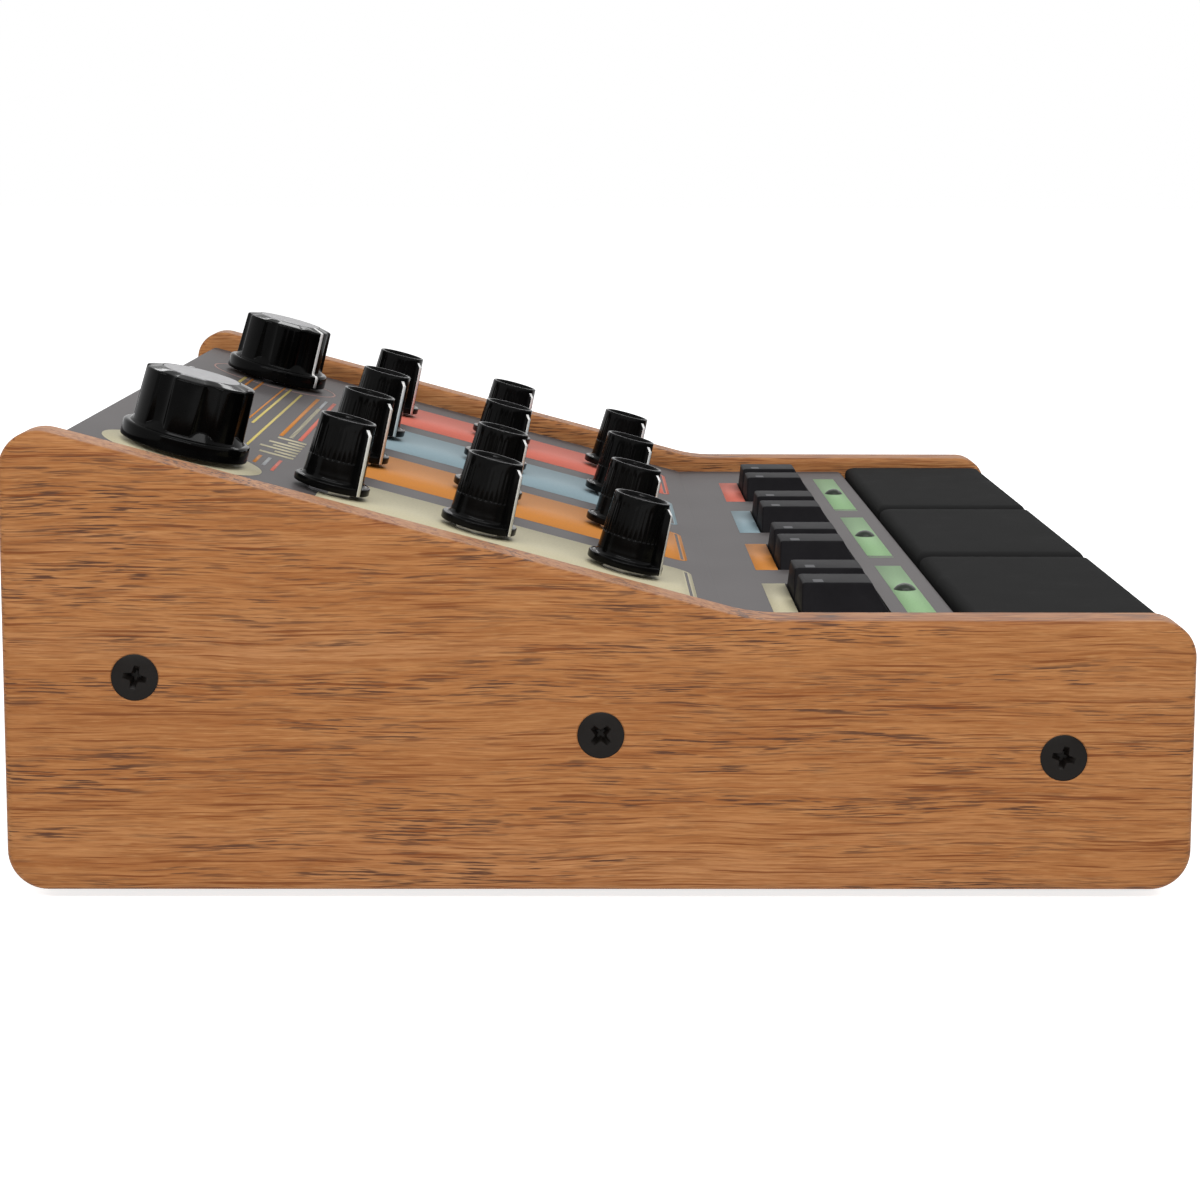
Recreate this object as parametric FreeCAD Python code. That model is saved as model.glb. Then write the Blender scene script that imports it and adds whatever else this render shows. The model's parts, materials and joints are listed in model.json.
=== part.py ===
import FreeCAD, Part
import math
import os

# Desktop effects processor: wooden cheeks, bent cover with knobs and keys, rubber pads along the front.
# Frame: origin at the bottom centre, +Z up, the user in front at -Y, X across. Millimetres.

# Whole case
case_width = 292.0
case_depth = 235.0

# Wooden cheeks
cheek_thickness = 12.5
cheek_rear_height = 93.9
cheek_front_height = 54.3
cheek_corner_radius = 8.0
cheek_bend_radius = 40.0
cheek_edge_radius = 1.8
cheek_gap_to_table = 2.5
cheek_screw_inset = 26.0
cheek_rear_screw_height = 43.0
cheek_middle_screw_height = 31.5
cheek_front_screw_height = 27.0

# Cover, one bent sheet with side walls
sheet = 1.5
cover_drop_at_rear = 5.3
cover_drop_on_flat = 4.1
cover_bend_radius = 1.9
cover_rear_inset = 3.75
cover_rear_lip = 12.0
cover_foot_flange = 10.0
sheet_fit = 0.2

# Tray with the deck that carries the pads
foot_height = 4.0
foot_radius = 8.0
foot_inset_x = 30.0
foot_inset_y = 24.0
deck_lip = 5.0

# Pads and their sensors
pad_count = 3
pad_bay_from_lamps = 7.6
pad_front_inset = 2.4
pad_thickness = 8.0
pad_proud = 1.85
pad_gap = 0.8
pad_gap_pitch = 83.2
pad_rear_gap = 0.5
pad_side_clearance = 0.4
pad_edge_radius = 1.6
pad_travel_gap = 0.9
sensor_thickness = 0.5
sensor_margin = 3.0

# Potentiometers, measured square to the sloping cover, zero on its outer face
pot_body_width = 11.0
pot_body_depth = 12.0
pot_body_height = 6.5
bushing_radius = 3.5
bushing_height = 5.0
bushing_hole_clearance = 0.1
shaft_radius = 3.0
shaft_running_clearance = 0.03
shaft_height = 13.0
shaft_flat_depth = 0.8
shaft_flat_length = 7.0
shaft_collar_radius = 4.0
shaft_collar_height = 2.2
shaft_collar_clearance = 0.4
nut_flats = 9.0
nut_height = 2.0
board_thickness = 1.6
board_margin = 10.0

# Knob grid on the slope. Its level distances, with the last one, add up to the length of the slope.
knob_column_pitch = 60.0
knob_columns = 4
knob_row_names = ("front", "middle", "rear")
knob_front_row_from_bend = 20.7
knob_row_pitch = 31.6
large_knob_from_rear_row = 31.6
large_knob_from_rear = 27.9

# Pointers at rest, degrees from straight towards the user, turned clockwise from above
pointers_in_front_row = (22.0, 34.0, 42.0, 43.0)
pointers_in_middle_row = (34.0, 33.0, 38.0, 40.0)
pointers_in_rear_row = (41.0, 36.0, 44.0, 36.0)
pointer_left_large = 248.0
pointer_right_large = 32.0

# Small knobs
knob_floor_gap = 1.15
knob_bore_clearance = 0.02
knob_cavity_clearance = 0.5
knob_flange_radius = 8.3
knob_flange_height = 1.7
knob_base_radius = 6.75
knob_top_radius = 6.1
knob_height = 16.55
knob_top_rounding = 0.35
knob_dish_radius = 5.4
knob_dish_depth = 0.9
pointer_width = 1.5
pointer_past_flange = 0.15
pointer_head_reach = 7.5
pointer_head_height = 14.4
pointer_chamfer = 1.1

# Large knobs
large_skirt_radius = 13.85
large_skirt_height = 3.65
large_skirt_rounding = 0.8
large_body_radius = 12.2
large_body_top_radius = 11.85
large_body_height = 16.7
large_top_height = 17.5
large_insert_radius = 8.4
large_insert_thickness = 1.0
large_flute_count = 7
large_flute_radius = 4.0
large_flute_depth = 1.2
large_insert_fit = 0.05

# Keys, one pair to a column
key_column_shift = -4.8
key_slot_width = 40.0
key_slot_from_bend = 15.6
key_slot_depth = 19.5
key_slot_clearance = 0.5
key_gap = 0.6
key_rise = 6.15
key_skirt = 2.5
key_top_width = 12.0
key_front_rake = 3.6
key_rear_rake = 0.4
key_edge_radius = 0.7
key_wall = 1.5
key_window_width = 3.6
key_window_depth = 2.1
key_window_from_side = 0.9
key_window_from_rear = 2.4
key_window_recess = 0.2
key_stem = 4.0
key_stem_below_cover = 10.5
switch_size = 12.0
switch_height = 5.0
switch_hole_clearance = 0.3
switch_hole_depth = 4.6

# Key board and its spacers
key_board_drop = 13.0
key_board_behind_slots = 7.0
key_board_beyond_lamps = 4.1
spacer_radius = 2.5
spacer_behind_slots = 4.0

# Lamps on the level strip
lamp_count = 3
lamp_pitch = 82.0
lamp_from_key_slots = 6.4
lamp_radius = 2.5
lamp_dome_height = 1.4
lamp_flange_radius = 2.9
lamp_flange_height = 1.0
lamp_body_below_cover = 6.0
lamp_hole_clearance = 0.1
lamp_lead_radius = 0.35
lamp_lead_pitch = 2.54

# Screws
cheek_screw_radius = 2.5
cheek_screw_head_radius = 4.6
cheek_screw_head_depth = 2.6
cheek_screw_length = 17.0
cheek_screw_clearance = 0.2
cheek_screw_boss_radius = 5.0
cheek_screw_boss_height = 4.0
cross_width = 1.1
cross_length = 4.6
cross_depth = 1.8
base_screw_radius = 1.5
base_screw_head_radius = 2.8
base_screw_head_height = 1.8
base_screw_length = 6.0
base_screw_inset = 50.0
thread_clearance = 0.05

# Jacks in the rear wall
jack_height = 40.0
jack_pitch = 32.0
jack_x = -70.0
jack_bore_radius = 3.2
jack_bore_length = 24.0
jack_bushing_radius = 4.5
jack_bushing_length = 5.0
jack_body_size = 15.0
jack_body_length = 26.0
jack_nut_flats = 12.0
jack_nut_height = 2.0
power_x = 70.0
power_body_size = 14.0
power_body_length = 18.0
power_face_radius = 5.5
power_bore_radius = 3.2
power_bore_length = 12.0
power_pin_radius = 1.0
power_pin_recess = 1.0
power_face_proud = 0.5

# Worked out from the values above
inner_width = case_width - 2.0 * cheek_thickness
half_inner = inner_width / 2.0
flat_height = cheek_gap_to_table + cheek_front_height - cover_drop_on_flat
slope_height_at_rear = cheek_gap_to_table + cheek_rear_height - cover_drop_at_rear
rear_row_from_bend = knob_front_row_from_bend + (len(knob_row_names) - 1) * knob_row_pitch
large_knob_from_bend = rear_row_from_bend + large_knob_from_rear_row
bend_from_rear = large_knob_from_bend + large_knob_from_rear
rise = (slope_height_at_rear - flat_height) / bend_from_rear
slope = math.atan(rise)
cos_slope = math.cos(slope)
cover_inner_bend_radius = cover_bend_radius - sheet
key_slot_rear = bend_from_rear + key_slot_from_bend
key_slot_front = key_slot_rear + key_slot_depth
lamp_from_rear = key_slot_front + lamp_from_key_slots
pad_bay_from_rear = lamp_from_rear + pad_bay_from_lamps
front_from_rear = case_depth - pad_front_inset
floor_top = foot_height + sheet
pad_bottom = flat_height + pad_proud - pad_thickness
deck_top = pad_bottom - pad_travel_gap - sensor_thickness
pot_floor = -sheet - pot_body_height
key_board_top = flat_height - key_board_drop
rear_wall_face = cover_rear_inset + sheet + sheet_fit


def y_at(from_rear):
    """Y of a distance measured forwards from the rear end of the cheeks."""
    return case_depth / 2.0 - from_rear


def column_x(index, pitch, count):
    """X of one of a row of equal columns centred on the case."""
    return (index - (count - 1) / 2.0) * pitch


def box(x0, x1, y0, y1, z0, z1):
    """A box between two corners, given in any order along each axis."""
    corner = FreeCAD.Vector(min(x0, x1), min(y0, y1), min(z0, z1))
    return Part.makeBox(abs(x1 - x0), abs(y1 - y0), abs(z1 - z0), corner)


def cylinder(radius, z0, z1, x=0.0, y=0.0):
    """An upright cylinder between two heights."""
    return Part.makeCylinder(radius, z1 - z0, FreeCAD.Vector(x, y, z0))


def prism_across(outline, x0, x1):
    """A side outline of (distance from the rear, height) points, extruded across the case."""
    points = [FreeCAD.Vector(x0, y_at(r), z) for r, z in outline]
    face = Part.Face(Part.makePolygon(points + points[:1]))
    return face.extrude(FreeCAD.Vector(x1 - x0, 0, 0))


def hexagon(flats, z0, z1):
    """A hexagonal prism for a nut."""
    corner = flats / 2.0 / math.cos(math.radians(30.0))
    ring = [math.radians(60.0 * i) for i in range(7)]
    points = [FreeCAD.Vector(corner * math.cos(a), corner * math.sin(a), z0) for a in ring]
    return Part.Face(Part.makePolygon(points)).extrude(FreeCAD.Vector(0, 0, z1 - z0))


def rectangle(x, y, width, depth, z):
    """A closed level rectangle about a centre, for lofts."""
    dx, dy = width / 2.0, depth / 2.0
    corners = ((-dx, -dy), (dx, -dy), (dx, dy), (-dx, dy), (-dx, -dy))
    return Part.makePolygon([FreeCAD.Vector(x + a, y + b, z) for a, b in corners])


def fuse(shapes):
    """One solid out of touching or overlapping ones."""
    return shapes[0].multiFuse(shapes[1:]).removeSplitter()


def on_slope(shape, x, from_bend):
    """Stand a shape from the XY plane on the sloping cover, at a level distance from the bend."""
    y = y_at(bend_from_rear) + from_bend
    z = flat_height + from_bend * rise
    turn = FreeCAD.Rotation(FreeCAD.Vector(1, 0, 0), math.degrees(slope))
    placed = shape.copy()
    placed.Placement = FreeCAD.Placement(FreeCAD.Vector(x, y, z), turn).multiply(placed.Placement)
    return placed


def at(shape, x, y, z):
    """A copy of a shape moved by a vector."""
    moved = shape.copy()
    moved.translate(FreeCAD.Vector(x, y, z))
    return moved


def turned(shape, pointer_angle):
    """A copy turned so that its pointer, drawn towards -Y, stands clockwise from there."""
    copy = shape.copy()
    copy.rotate(FreeCAD.Vector(0, 0, 0), FreeCAD.Vector(0, 0, 1), -pointer_angle)
    return copy


def edges_where(shape, test):
    """Edges of a shape whose bounding box passes a test."""
    return [e for e in shape.Edges if test(e.BoundBox)]


def edges_along_x(shape, from_rear, z):
    """Edges that run across the case through a point of a side outline."""
    def here(b):
        return b.XLength > sheet and abs(b.YMax - y_at(from_rear)) < 0.01 and abs(b.ZMax - z) < 0.01
    return edges_where(shape, here)


def save(name, shape):
    """Write one node, several solids as a compound."""
    solids = shape.Solids
    whole = solids[0] if len(solids) == 1 else Part.makeCompound(solids)
    if not whole.isValid():
        raise ValueError(name + " is not valid")
    whole.exportStep("parts/" + name + ".step")


# Places of repeated things

def small_knob_places():
    """Row name, column, X, level distance from the bend and pointer angle of each small knob."""
    pointers = (pointers_in_front_row, pointers_in_middle_row, pointers_in_rear_row)
    places = []
    for row, row_name in enumerate(knob_row_names):
        for column in range(knob_columns):
            x = column_x(column, knob_column_pitch, knob_columns)
            from_bend = knob_front_row_from_bend + row * knob_row_pitch
            places.append((row_name, column + 1, x, from_bend, pointers[row][column]))
    return places


def large_knob_places():
    """Side name, X, level distance from the bend and pointer angle of the two large knobs."""
    x = column_x(knob_columns - 1, knob_column_pitch, knob_columns)
    left = ("left", -x, large_knob_from_bend, pointer_left_large)
    right = ("right", x, large_knob_from_bend, pointer_right_large)
    return [left, right]


def pot_places():
    """X and level distance from the bend of all potentiometers."""
    small = [(x, from_bend) for _, _, x, from_bend, _ in small_knob_places()]
    large = [(x, from_bend) for _, x, from_bend, _ in large_knob_places()]
    return small + large


def key_pair_centres():
    """X of the middle of each key pair."""
    return [column_x(i, knob_column_pitch, knob_columns) + key_column_shift for i in range(knob_columns)]


def key_width():
    """Width of one key at its foot."""
    return (key_slot_width - 2.0 * key_slot_clearance - key_gap) / 2.0


def key_places():
    """X of each key from left to right."""
    offset = (key_width() + key_gap) / 2.0
    return [x + side * offset for x in key_pair_centres() for side in (-1, 1)]


def lamp_places():
    """X of each lamp."""
    return [column_x(i, lamp_pitch, lamp_count) for i in range(lamp_count)]


def cheek_screw_places():
    """Distance from the rear and height above the cheek's foot of the three screws of a cheek."""
    return [
        (cheek_screw_inset, cheek_rear_screw_height),
        (case_depth / 2.0, cheek_middle_screw_height),
        (case_depth - cheek_screw_inset, cheek_front_screw_height),
    ]


def base_screw_places():
    """X and Y of the screws through the tray floor."""
    x = half_inner - sheet - cover_foot_flange / 2.0
    rows = (base_screw_inset, case_depth - base_screw_inset)
    return [(side * x, y_at(from_rear)) for side in (-1, 1) for from_rear in rows]


# Case

def cheek_board():
    """The left board before it is drilled, from X = 0 outwards to +X."""
    slope_end = (cheek_rear_height - cheek_front_height) / rise
    outline = [(0, 0), (0, cheek_rear_height), (slope_end, cheek_front_height)]
    outline += [(case_depth, cheek_front_height), (case_depth, 0)]
    lifted = [(r, z + cheek_gap_to_table) for r, z in outline]
    board = prism_across(lifted, 0.0, cheek_thickness)
    ends = (y_at(0), y_at(case_depth))

    def corner(b):
        return b.XLength > cheek_thickness / 2.0 and min(abs(b.YMin - e) for e in ends) < 0.01
    board = board.makeFillet(cheek_corner_radius, edges_where(board, corner))
    bend_edge = edges_along_x(board, slope_end, cheek_front_height + cheek_gap_to_table)
    board = board.makeFillet(cheek_bend_radius, bend_edge)

    def rim(b):
        return b.XLength < 0.01 and b.ZMax > cheek_gap_to_table + 0.01
    return board.makeFillet(cheek_edge_radius, edges_where(board, rim))


def cheek_screw_hole(from_rear, height):
    """Countersunk hole through a cheek, entered at X = 0."""
    start = FreeCAD.Vector(0, y_at(from_rear), height + cheek_gap_to_table)
    across = FreeCAD.Vector(1, 0, 0)
    bore_radius = cheek_screw_radius + cheek_screw_clearance
    bore = Part.makeCylinder(bore_radius, cheek_thickness, start, across)
    head = cheek_screw_head_radius + cheek_screw_clearance / 2.0
    sink = Part.makeCone(head, bore_radius, cheek_screw_head_depth, start, across)
    return bore.fuse(sink)


def make_cheeks():
    board = cheek_board()
    for from_rear, height in cheek_screw_places():
        board = board.cut(cheek_screw_hole(from_rear, height))
    left = at(board, -case_width / 2.0, 0, 0)
    save("left_cheek", left)
    save("right_cheek", left.mirror(FreeCAD.Vector(0, 0, 0), FreeCAD.Vector(1, 0, 0)))


def cheek_screw():
    """A countersunk screw with a cross recess, head at X = 0, pointing to +X."""
    across = FreeCAD.Vector(1, 0, 0)
    origin = FreeCAD.Vector(0, 0, 0)
    radius = cheek_screw_radius
    shank = Part.makeCylinder(radius, cheek_screw_length, origin, across)
    head = Part.makeCone(cheek_screw_head_radius, radius, cheek_screw_head_depth, origin, across)
    screw = fuse([shank, head])
    half, arm = cross_width / 2.0, cross_length / 2.0
    screw = screw.cut(box(0, cross_depth, -half, half, -arm, arm))
    return screw.cut(box(0, cross_depth, -arm, arm, -half, half))


def make_cheek_screws():
    screws = []
    for from_rear, height in cheek_screw_places():
        left = at(cheek_screw(), -case_width / 2.0, y_at(from_rear), height + cheek_gap_to_table)
        screws += [left, left.mirror(FreeCAD.Vector(0, 0, 0), FreeCAD.Vector(1, 0, 0))]
    save("cheek_screws", Part.makeCompound(screws))


def cover_outside():
    """Side outline of the cover's outer faces."""
    rear = cover_rear_inset
    top = slope_height_at_rear - rear * rise
    return [
        (rear, floor_top),
        (rear, top),
        (bend_from_rear, flat_height),
        (pad_bay_from_rear, flat_height),
        (pad_bay_from_rear, deck_top),
        (front_from_rear, deck_top),
        (front_from_rear, floor_top),
    ]


def cover_inside():
    """Side outline of the room inside the cover, open at the rear, below and over the deck."""
    beyond = 5.0
    rear = cover_rear_inset
    under_rear = rear + sheet
    under_bend = bend_from_rear - sheet * math.tan(slope / 2.0)
    lip = slope_height_at_rear - rear * rise - cover_rear_lip
    slope_under = slope_height_at_rear - sheet / cos_slope
    front_lip = pad_bay_from_rear - sheet
    return [
        (rear - beyond, floor_top - beyond),
        (rear - beyond, lip),
        (under_rear, lip),
        (under_rear, slope_under - under_rear * rise),
        (under_bend, flat_height - sheet),
        (front_lip, flat_height - sheet),
        (front_lip, deck_top + sheet_fit),
        (front_from_rear + beyond, deck_top + sheet_fit),
        (front_from_rear + beyond, floor_top - beyond),
    ]


def cover_bosses():
    """Tapped bosses inside the side walls for the cheek screws."""
    bosses = []
    radius, height = cheek_screw_boss_radius, cheek_screw_boss_height
    for from_rear, up in cheek_screw_places():
        for side in (-1, 1):
            start = FreeCAD.Vector(side * (half_inner - sheet), y_at(from_rear), up + cheek_gap_to_table)
            bosses.append(Part.makeCylinder(radius, height, start, FreeCAD.Vector(-side, 0, 0)))
    return bosses


def cover_foot_flanges():
    """Inward flanges at the foot of the side walls."""
    rear, front = y_at(cover_rear_inset + 2.0 * sheet + sheet_fit), y_at(front_from_rear - sheet)
    flanges = []
    for side in (-1, 1):
        outer, inner = side * half_inner, side * (half_inner - sheet - cover_foot_flange)
        flanges.append(box(outer, inner, rear, front, floor_top, floor_top + sheet))
    return flanges


def cheek_screw_bores():
    """Holes for the cheek screws through the side walls and their bosses."""
    bores = []
    radius = cheek_screw_radius + thread_clearance
    for from_rear, height in cheek_screw_places():
        start = FreeCAD.Vector(-case_width / 2.0, y_at(from_rear), height + cheek_gap_to_table)
        bores.append(Part.makeCylinder(radius, case_width, start, FreeCAD.Vector(1, 0, 0)))
    return bores


def cover_openings():
    """Holes for bushings, keys and lamps."""
    holes = []
    bushing_hole = cylinder(bushing_radius + bushing_hole_clearance, -2.0 * sheet, sheet)
    for x, from_bend in pot_places():
        holes.append(on_slope(bushing_hole, x, from_bend))
    below, above = flat_height - 2.0 * sheet, flat_height + sheet
    rear, front = y_at(key_slot_rear), y_at(key_slot_front)
    half = key_slot_width / 2.0
    for x in key_pair_centres():
        holes.append(box(x - half, x + half, rear, front, below, above))
    for x in lamp_places():
        holes.append(cylinder(lamp_radius + lamp_hole_clearance, below, above, x, y_at(lamp_from_rear)))
    return holes


def base_screw_bores():
    """Holes for the base screws through the floor and the flanges."""
    radius = base_screw_radius + thread_clearance
    return [cylinder(radius, 0, floor_top + 2.0 * sheet, x, y) for x, y in base_screw_places()]


def bent(shape, radius, depth):
    """Round the rear bend and the bend over the pads, on the outside or at a depth of one sheet inside."""
    rear = cover_rear_inset + depth
    rear_top = slope_height_at_rear - depth / cos_slope - rear * rise
    edges = edges_along_x(shape, rear, rear_top)
    edges += edges_along_x(shape, pad_bay_from_rear - depth, flat_height - depth)
    return shape.makeFillet(radius, edges)


def make_cover():
    block = prism_across(cover_outside(), -half_inner, half_inner)
    room = prism_across(cover_inside(), -half_inner + sheet, half_inner - sheet)
    sheet_metal = bent(block, cover_bend_radius, 0.0).cut(bent(room, cover_inner_bend_radius, sheet))
    cover = fuse([sheet_metal] + cover_bosses() + cover_foot_flanges())
    cover = cover.cut(cover_openings() + cheek_screw_bores() + base_screw_bores())
    save("top_cover", cover)


def make_tray():
    """Floor, rear wall, front wall and deck of one bent sheet."""
    wide = half_inner - sheet_fit
    narrow = half_inner - sheet - sheet_fit
    rear = rear_wall_face
    under_slope = slope_height_at_rear - sheet / cos_slope - (rear + sheet) * rise
    rear_top = under_slope - cover_inner_bend_radius - sheet_fit
    front = front_from_rear
    deck_rear = pad_bay_from_rear
    pieces = [
        box(-wide, wide, y_at(rear), y_at(front), foot_height, floor_top),
        box(-narrow, narrow, y_at(rear), y_at(rear + sheet), foot_height, rear_top),
        box(-narrow, narrow, y_at(front - sheet), y_at(front), foot_height, deck_top),
        box(-narrow, narrow, y_at(deck_rear), y_at(front), deck_top - sheet, deck_top),
        box(-narrow, narrow, y_at(deck_rear), y_at(deck_rear + sheet), deck_top - deck_lip, deck_top),
    ]
    holes = base_screw_bores()
    through = 4.0 * sheet
    backwards = FreeCAD.Vector(0, 1, 0)
    for x, radius in jack_holes():
        start = FreeCAD.Vector(x, y_at(rear + through / 2.0), jack_height)
        holes.append(Part.makeCylinder(radius, through, start, backwards))
    save("base_tray", fuse(pieces).cut(holes))


def make_base_screws():
    """Pan-head screws up through the floor into the cover's flanges."""
    screws = []
    for x, y in base_screw_places():
        head = cylinder(base_screw_head_radius, foot_height - base_screw_head_height, foot_height, x, y)
        shank = cylinder(base_screw_radius, foot_height, foot_height + base_screw_length, x, y)
        screws.append(fuse([head, shank]))
    save("base_screws", Part.makeCompound(screws))


def make_feet():
    """Four round rubber feet under the floor."""
    feet = []
    for side in (-1, 1):
        for from_rear in (foot_inset_y, case_depth - foot_inset_y):
            x = side * (half_inner - foot_inset_x)
            feet.append(cylinder(foot_radius, 0, foot_height, x, y_at(from_rear)))
    save("rubber_feet", Part.makeCompound(feet))


# Potentiometers and boards

def shaft_flat(grow):
    """The block that is missing beside a shaft's flat, on the side away from the pointer."""
    near, far = shaft_radius - shaft_flat_depth + grow, 2.0 * shaft_radius
    start = shaft_height - shaft_flat_length
    return box(-far, far, near, far, start, start + knob_height)


def pot():
    """Body with its cavity, bushing and bore."""
    half_w, half_d = pot_body_width / 2.0, pot_body_depth / 2.0
    body = box(-half_w, half_w, -half_d, half_d, pot_floor, -sheet)
    bushing = cylinder(bushing_radius, -sheet, bushing_height)
    bore = cylinder(shaft_radius + shaft_running_clearance, -sheet - pot_body_height / 2.0, bushing_height)
    low, high = collar_heights()
    gap = shaft_collar_clearance
    cavity = cylinder(shaft_collar_radius + gap, low - gap, high + gap)
    return fuse([body, bushing]).cut(bore).cut(cavity)


def collar_heights():
    """Lower and upper face of the collar that keeps a shaft in its potentiometer."""
    middle = -sheet - pot_body_height / 2.0
    return middle - shaft_collar_height / 2.0, middle + shaft_collar_height / 2.0


def shaft():
    """A round shaft with a flat at its top and a collar in the potentiometer."""
    low, high = collar_heights()
    rod = cylinder(shaft_radius, low, shaft_height)
    collar = cylinder(shaft_collar_radius, low, high)
    return fuse([rod, collar]).cut(shaft_flat(0.0))


def make_pots():
    one_pot = pot()
    nut = hexagon(nut_flats, 0, nut_height).cut(cylinder(bushing_radius + thread_clearance, 0, nut_height))
    for name, shape in (("potentiometers", one_pot), ("pot_nuts", nut)):
        save(name, Part.makeCompound([on_slope(shape, x, from_bend) for x, from_bend in pot_places()]))


def make_main_board():
    """The circuit board that the potentiometers stand on, parallel to the slope."""
    last_column = column_x(knob_columns - 1, knob_column_pitch, knob_columns)
    reach = last_column + pot_body_width / 2.0 + board_margin
    beyond = pot_body_depth / 2.0 + board_margin / 2.0
    front = knob_front_row_from_bend / cos_slope - beyond
    rear = large_knob_from_bend / cos_slope + beyond
    board = box(-reach, reach, front, rear, pot_floor - board_thickness, pot_floor)
    save("main_board", on_slope(board, 0, 0))


def spacer_places():
    """X and Y of the spacers: one behind each pair of keys and one between neighbouring pairs."""
    centres = key_pair_centres()
    behind = [(x, y_at(key_slot_rear - spacer_behind_slots)) for x in centres]
    between = [((a + b) / 2.0, key_y()) for a, b in zip(centres, centres[1:])]
    return behind + between


def make_key_board():
    """The level board under the keys and lamps, and its spacers below the cover."""
    reach = half_inner - sheet - board_margin
    rear = y_at(key_slot_rear - key_board_behind_slots)
    front = y_at(lamp_from_rear + key_board_beyond_lamps)
    board = box(-reach, reach, rear, front, key_board_top - board_thickness, key_board_top)
    save("key_board", board)
    top = flat_height - sheet
    spacers = [cylinder(spacer_radius, key_board_top, top, x, y) for x, y in spacer_places()]
    save("board_spacers", Part.makeCompound(spacers))


# Knobs

def shaft_bore(from_height):
    """Bore for the shaft's flatted end, with a small clearance all round."""
    radius = shaft_radius + knob_bore_clearance
    bore = cylinder(radius, from_height, shaft_height + knob_bore_clearance)
    return bore.cut(shaft_flat(knob_bore_clearance))


def knob_cavity():
    """Hollow under a knob that clears the nut and the bushing."""
    radius = nut_flats / 2.0 / math.cos(math.radians(30.0)) + knob_cavity_clearance
    return cylinder(radius, 0, bushing_height + knob_cavity_clearance)


def revolve(outline):
    """A turned solid from (radius, height) points about the upright axis."""
    points = [FreeCAD.Vector(r, 0, z) for r, z in outline]
    face = Part.Face(Part.makePolygon(points + points[:1]))
    return face.revolve(FreeCAD.Vector(0, 0, 0), FreeCAD.Vector(0, 0, 1), 360)


def knob_pointer():
    """Upright blade on the side of a small knob towards -Y, from the flange's rim to just under the top."""
    foot_reach = knob_flange_radius + pointer_past_flange
    under_top = pointer_head_height + pointer_chamfer
    outline = [
        (0, knob_floor_gap),
        (-foot_reach, knob_floor_gap),
        (-pointer_head_reach, pointer_head_height),
        (pointer_chamfer - pointer_head_reach, under_top),
        (0, under_top),
    ]
    points = [FreeCAD.Vector(-pointer_width / 2.0, y, z) for y, z in outline]
    face = Part.Face(Part.makePolygon(points + points[:1]))
    return face.extrude(FreeCAD.Vector(pointer_width, 0, 0))


def small_knob():
    """Tapered knob with a thin flange, a pointer blade and a dished top, pointer towards -Y."""
    low, flange_top = knob_floor_gap, knob_floor_gap + knob_flange_height
    body = Part.makeCone(knob_base_radius, knob_top_radius, knob_height - low, FreeCAD.Vector(0, 0, low))

    def top_edge(b):
        return b.ZLength < 0.01 and b.ZMax > knob_height - 0.01
    body = body.makeFillet(knob_top_rounding, edges_where(body, top_edge))
    flange = cylinder(knob_flange_radius, low, flange_top)
    dish = cylinder(knob_dish_radius, knob_height - knob_dish_depth, knob_height)
    return fuse([body, flange, knob_pointer()]).cut([dish, knob_cavity(), shaft_bore(bushing_height)])


def large_knob():
    """Fluted knob on a round skirt, with a seat for its insert, pointer ridge towards -Y."""
    low = knob_floor_gap
    skirt = cylinder(large_skirt_radius, low, low + large_skirt_height)

    def skirt_edge(b):
        return b.ZLength < 0.01 and b.ZMax > low + large_skirt_height - 0.01
    skirt = skirt.makeFillet(large_skirt_rounding, edges_where(skirt, skirt_edge))
    seat = large_top_height - large_insert_thickness
    body = revolve([
        (0, low),
        (large_body_radius, low),
        (large_body_top_radius, large_body_height),
        (large_insert_radius, large_top_height),
        (0, large_top_height),
    ])
    flutes = []
    for i in range(large_flute_count):
        angle = math.radians(-90.0 + 360.0 / large_flute_count * (i + 0.5))
        reach = large_body_radius + large_flute_radius - large_flute_depth
        x, y = reach * math.cos(angle), reach * math.sin(angle)
        flutes.append(cylinder(large_flute_radius, low + large_skirt_height, large_top_height, x, y))
    pocket = cylinder(large_insert_radius, seat, large_top_height)
    knob = fuse([skirt, body.cut(flutes)])
    return knob.cut([pocket, knob_cavity(), shaft_bore(bushing_height)])


def large_insert():
    """Flat disc in the top of a large knob."""
    seat = large_top_height - large_insert_thickness
    return cylinder(large_insert_radius - large_insert_fit, seat, large_top_height)


def make_knobs():
    knob, rod = small_knob(), shaft()
    for row, column, x, from_bend, pointer in small_knob_places():
        name = row + "_{}_" + str(column)
        save(name.format("knob"), on_slope(turned(knob, pointer), x, from_bend))
        save(name.format("shaft"), on_slope(turned(rod, pointer), x, from_bend))
    knob = large_knob()
    for side, x, from_bend, pointer in large_knob_places():
        save(side + "_large_knob", on_slope(turned(knob, pointer), x, from_bend))
        save(side + "_large_shaft", on_slope(turned(rod, pointer), x, from_bend))
        save(side + "_knob_insert", on_slope(large_insert(), x, from_bend))


# Keys, lamps and pads

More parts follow.
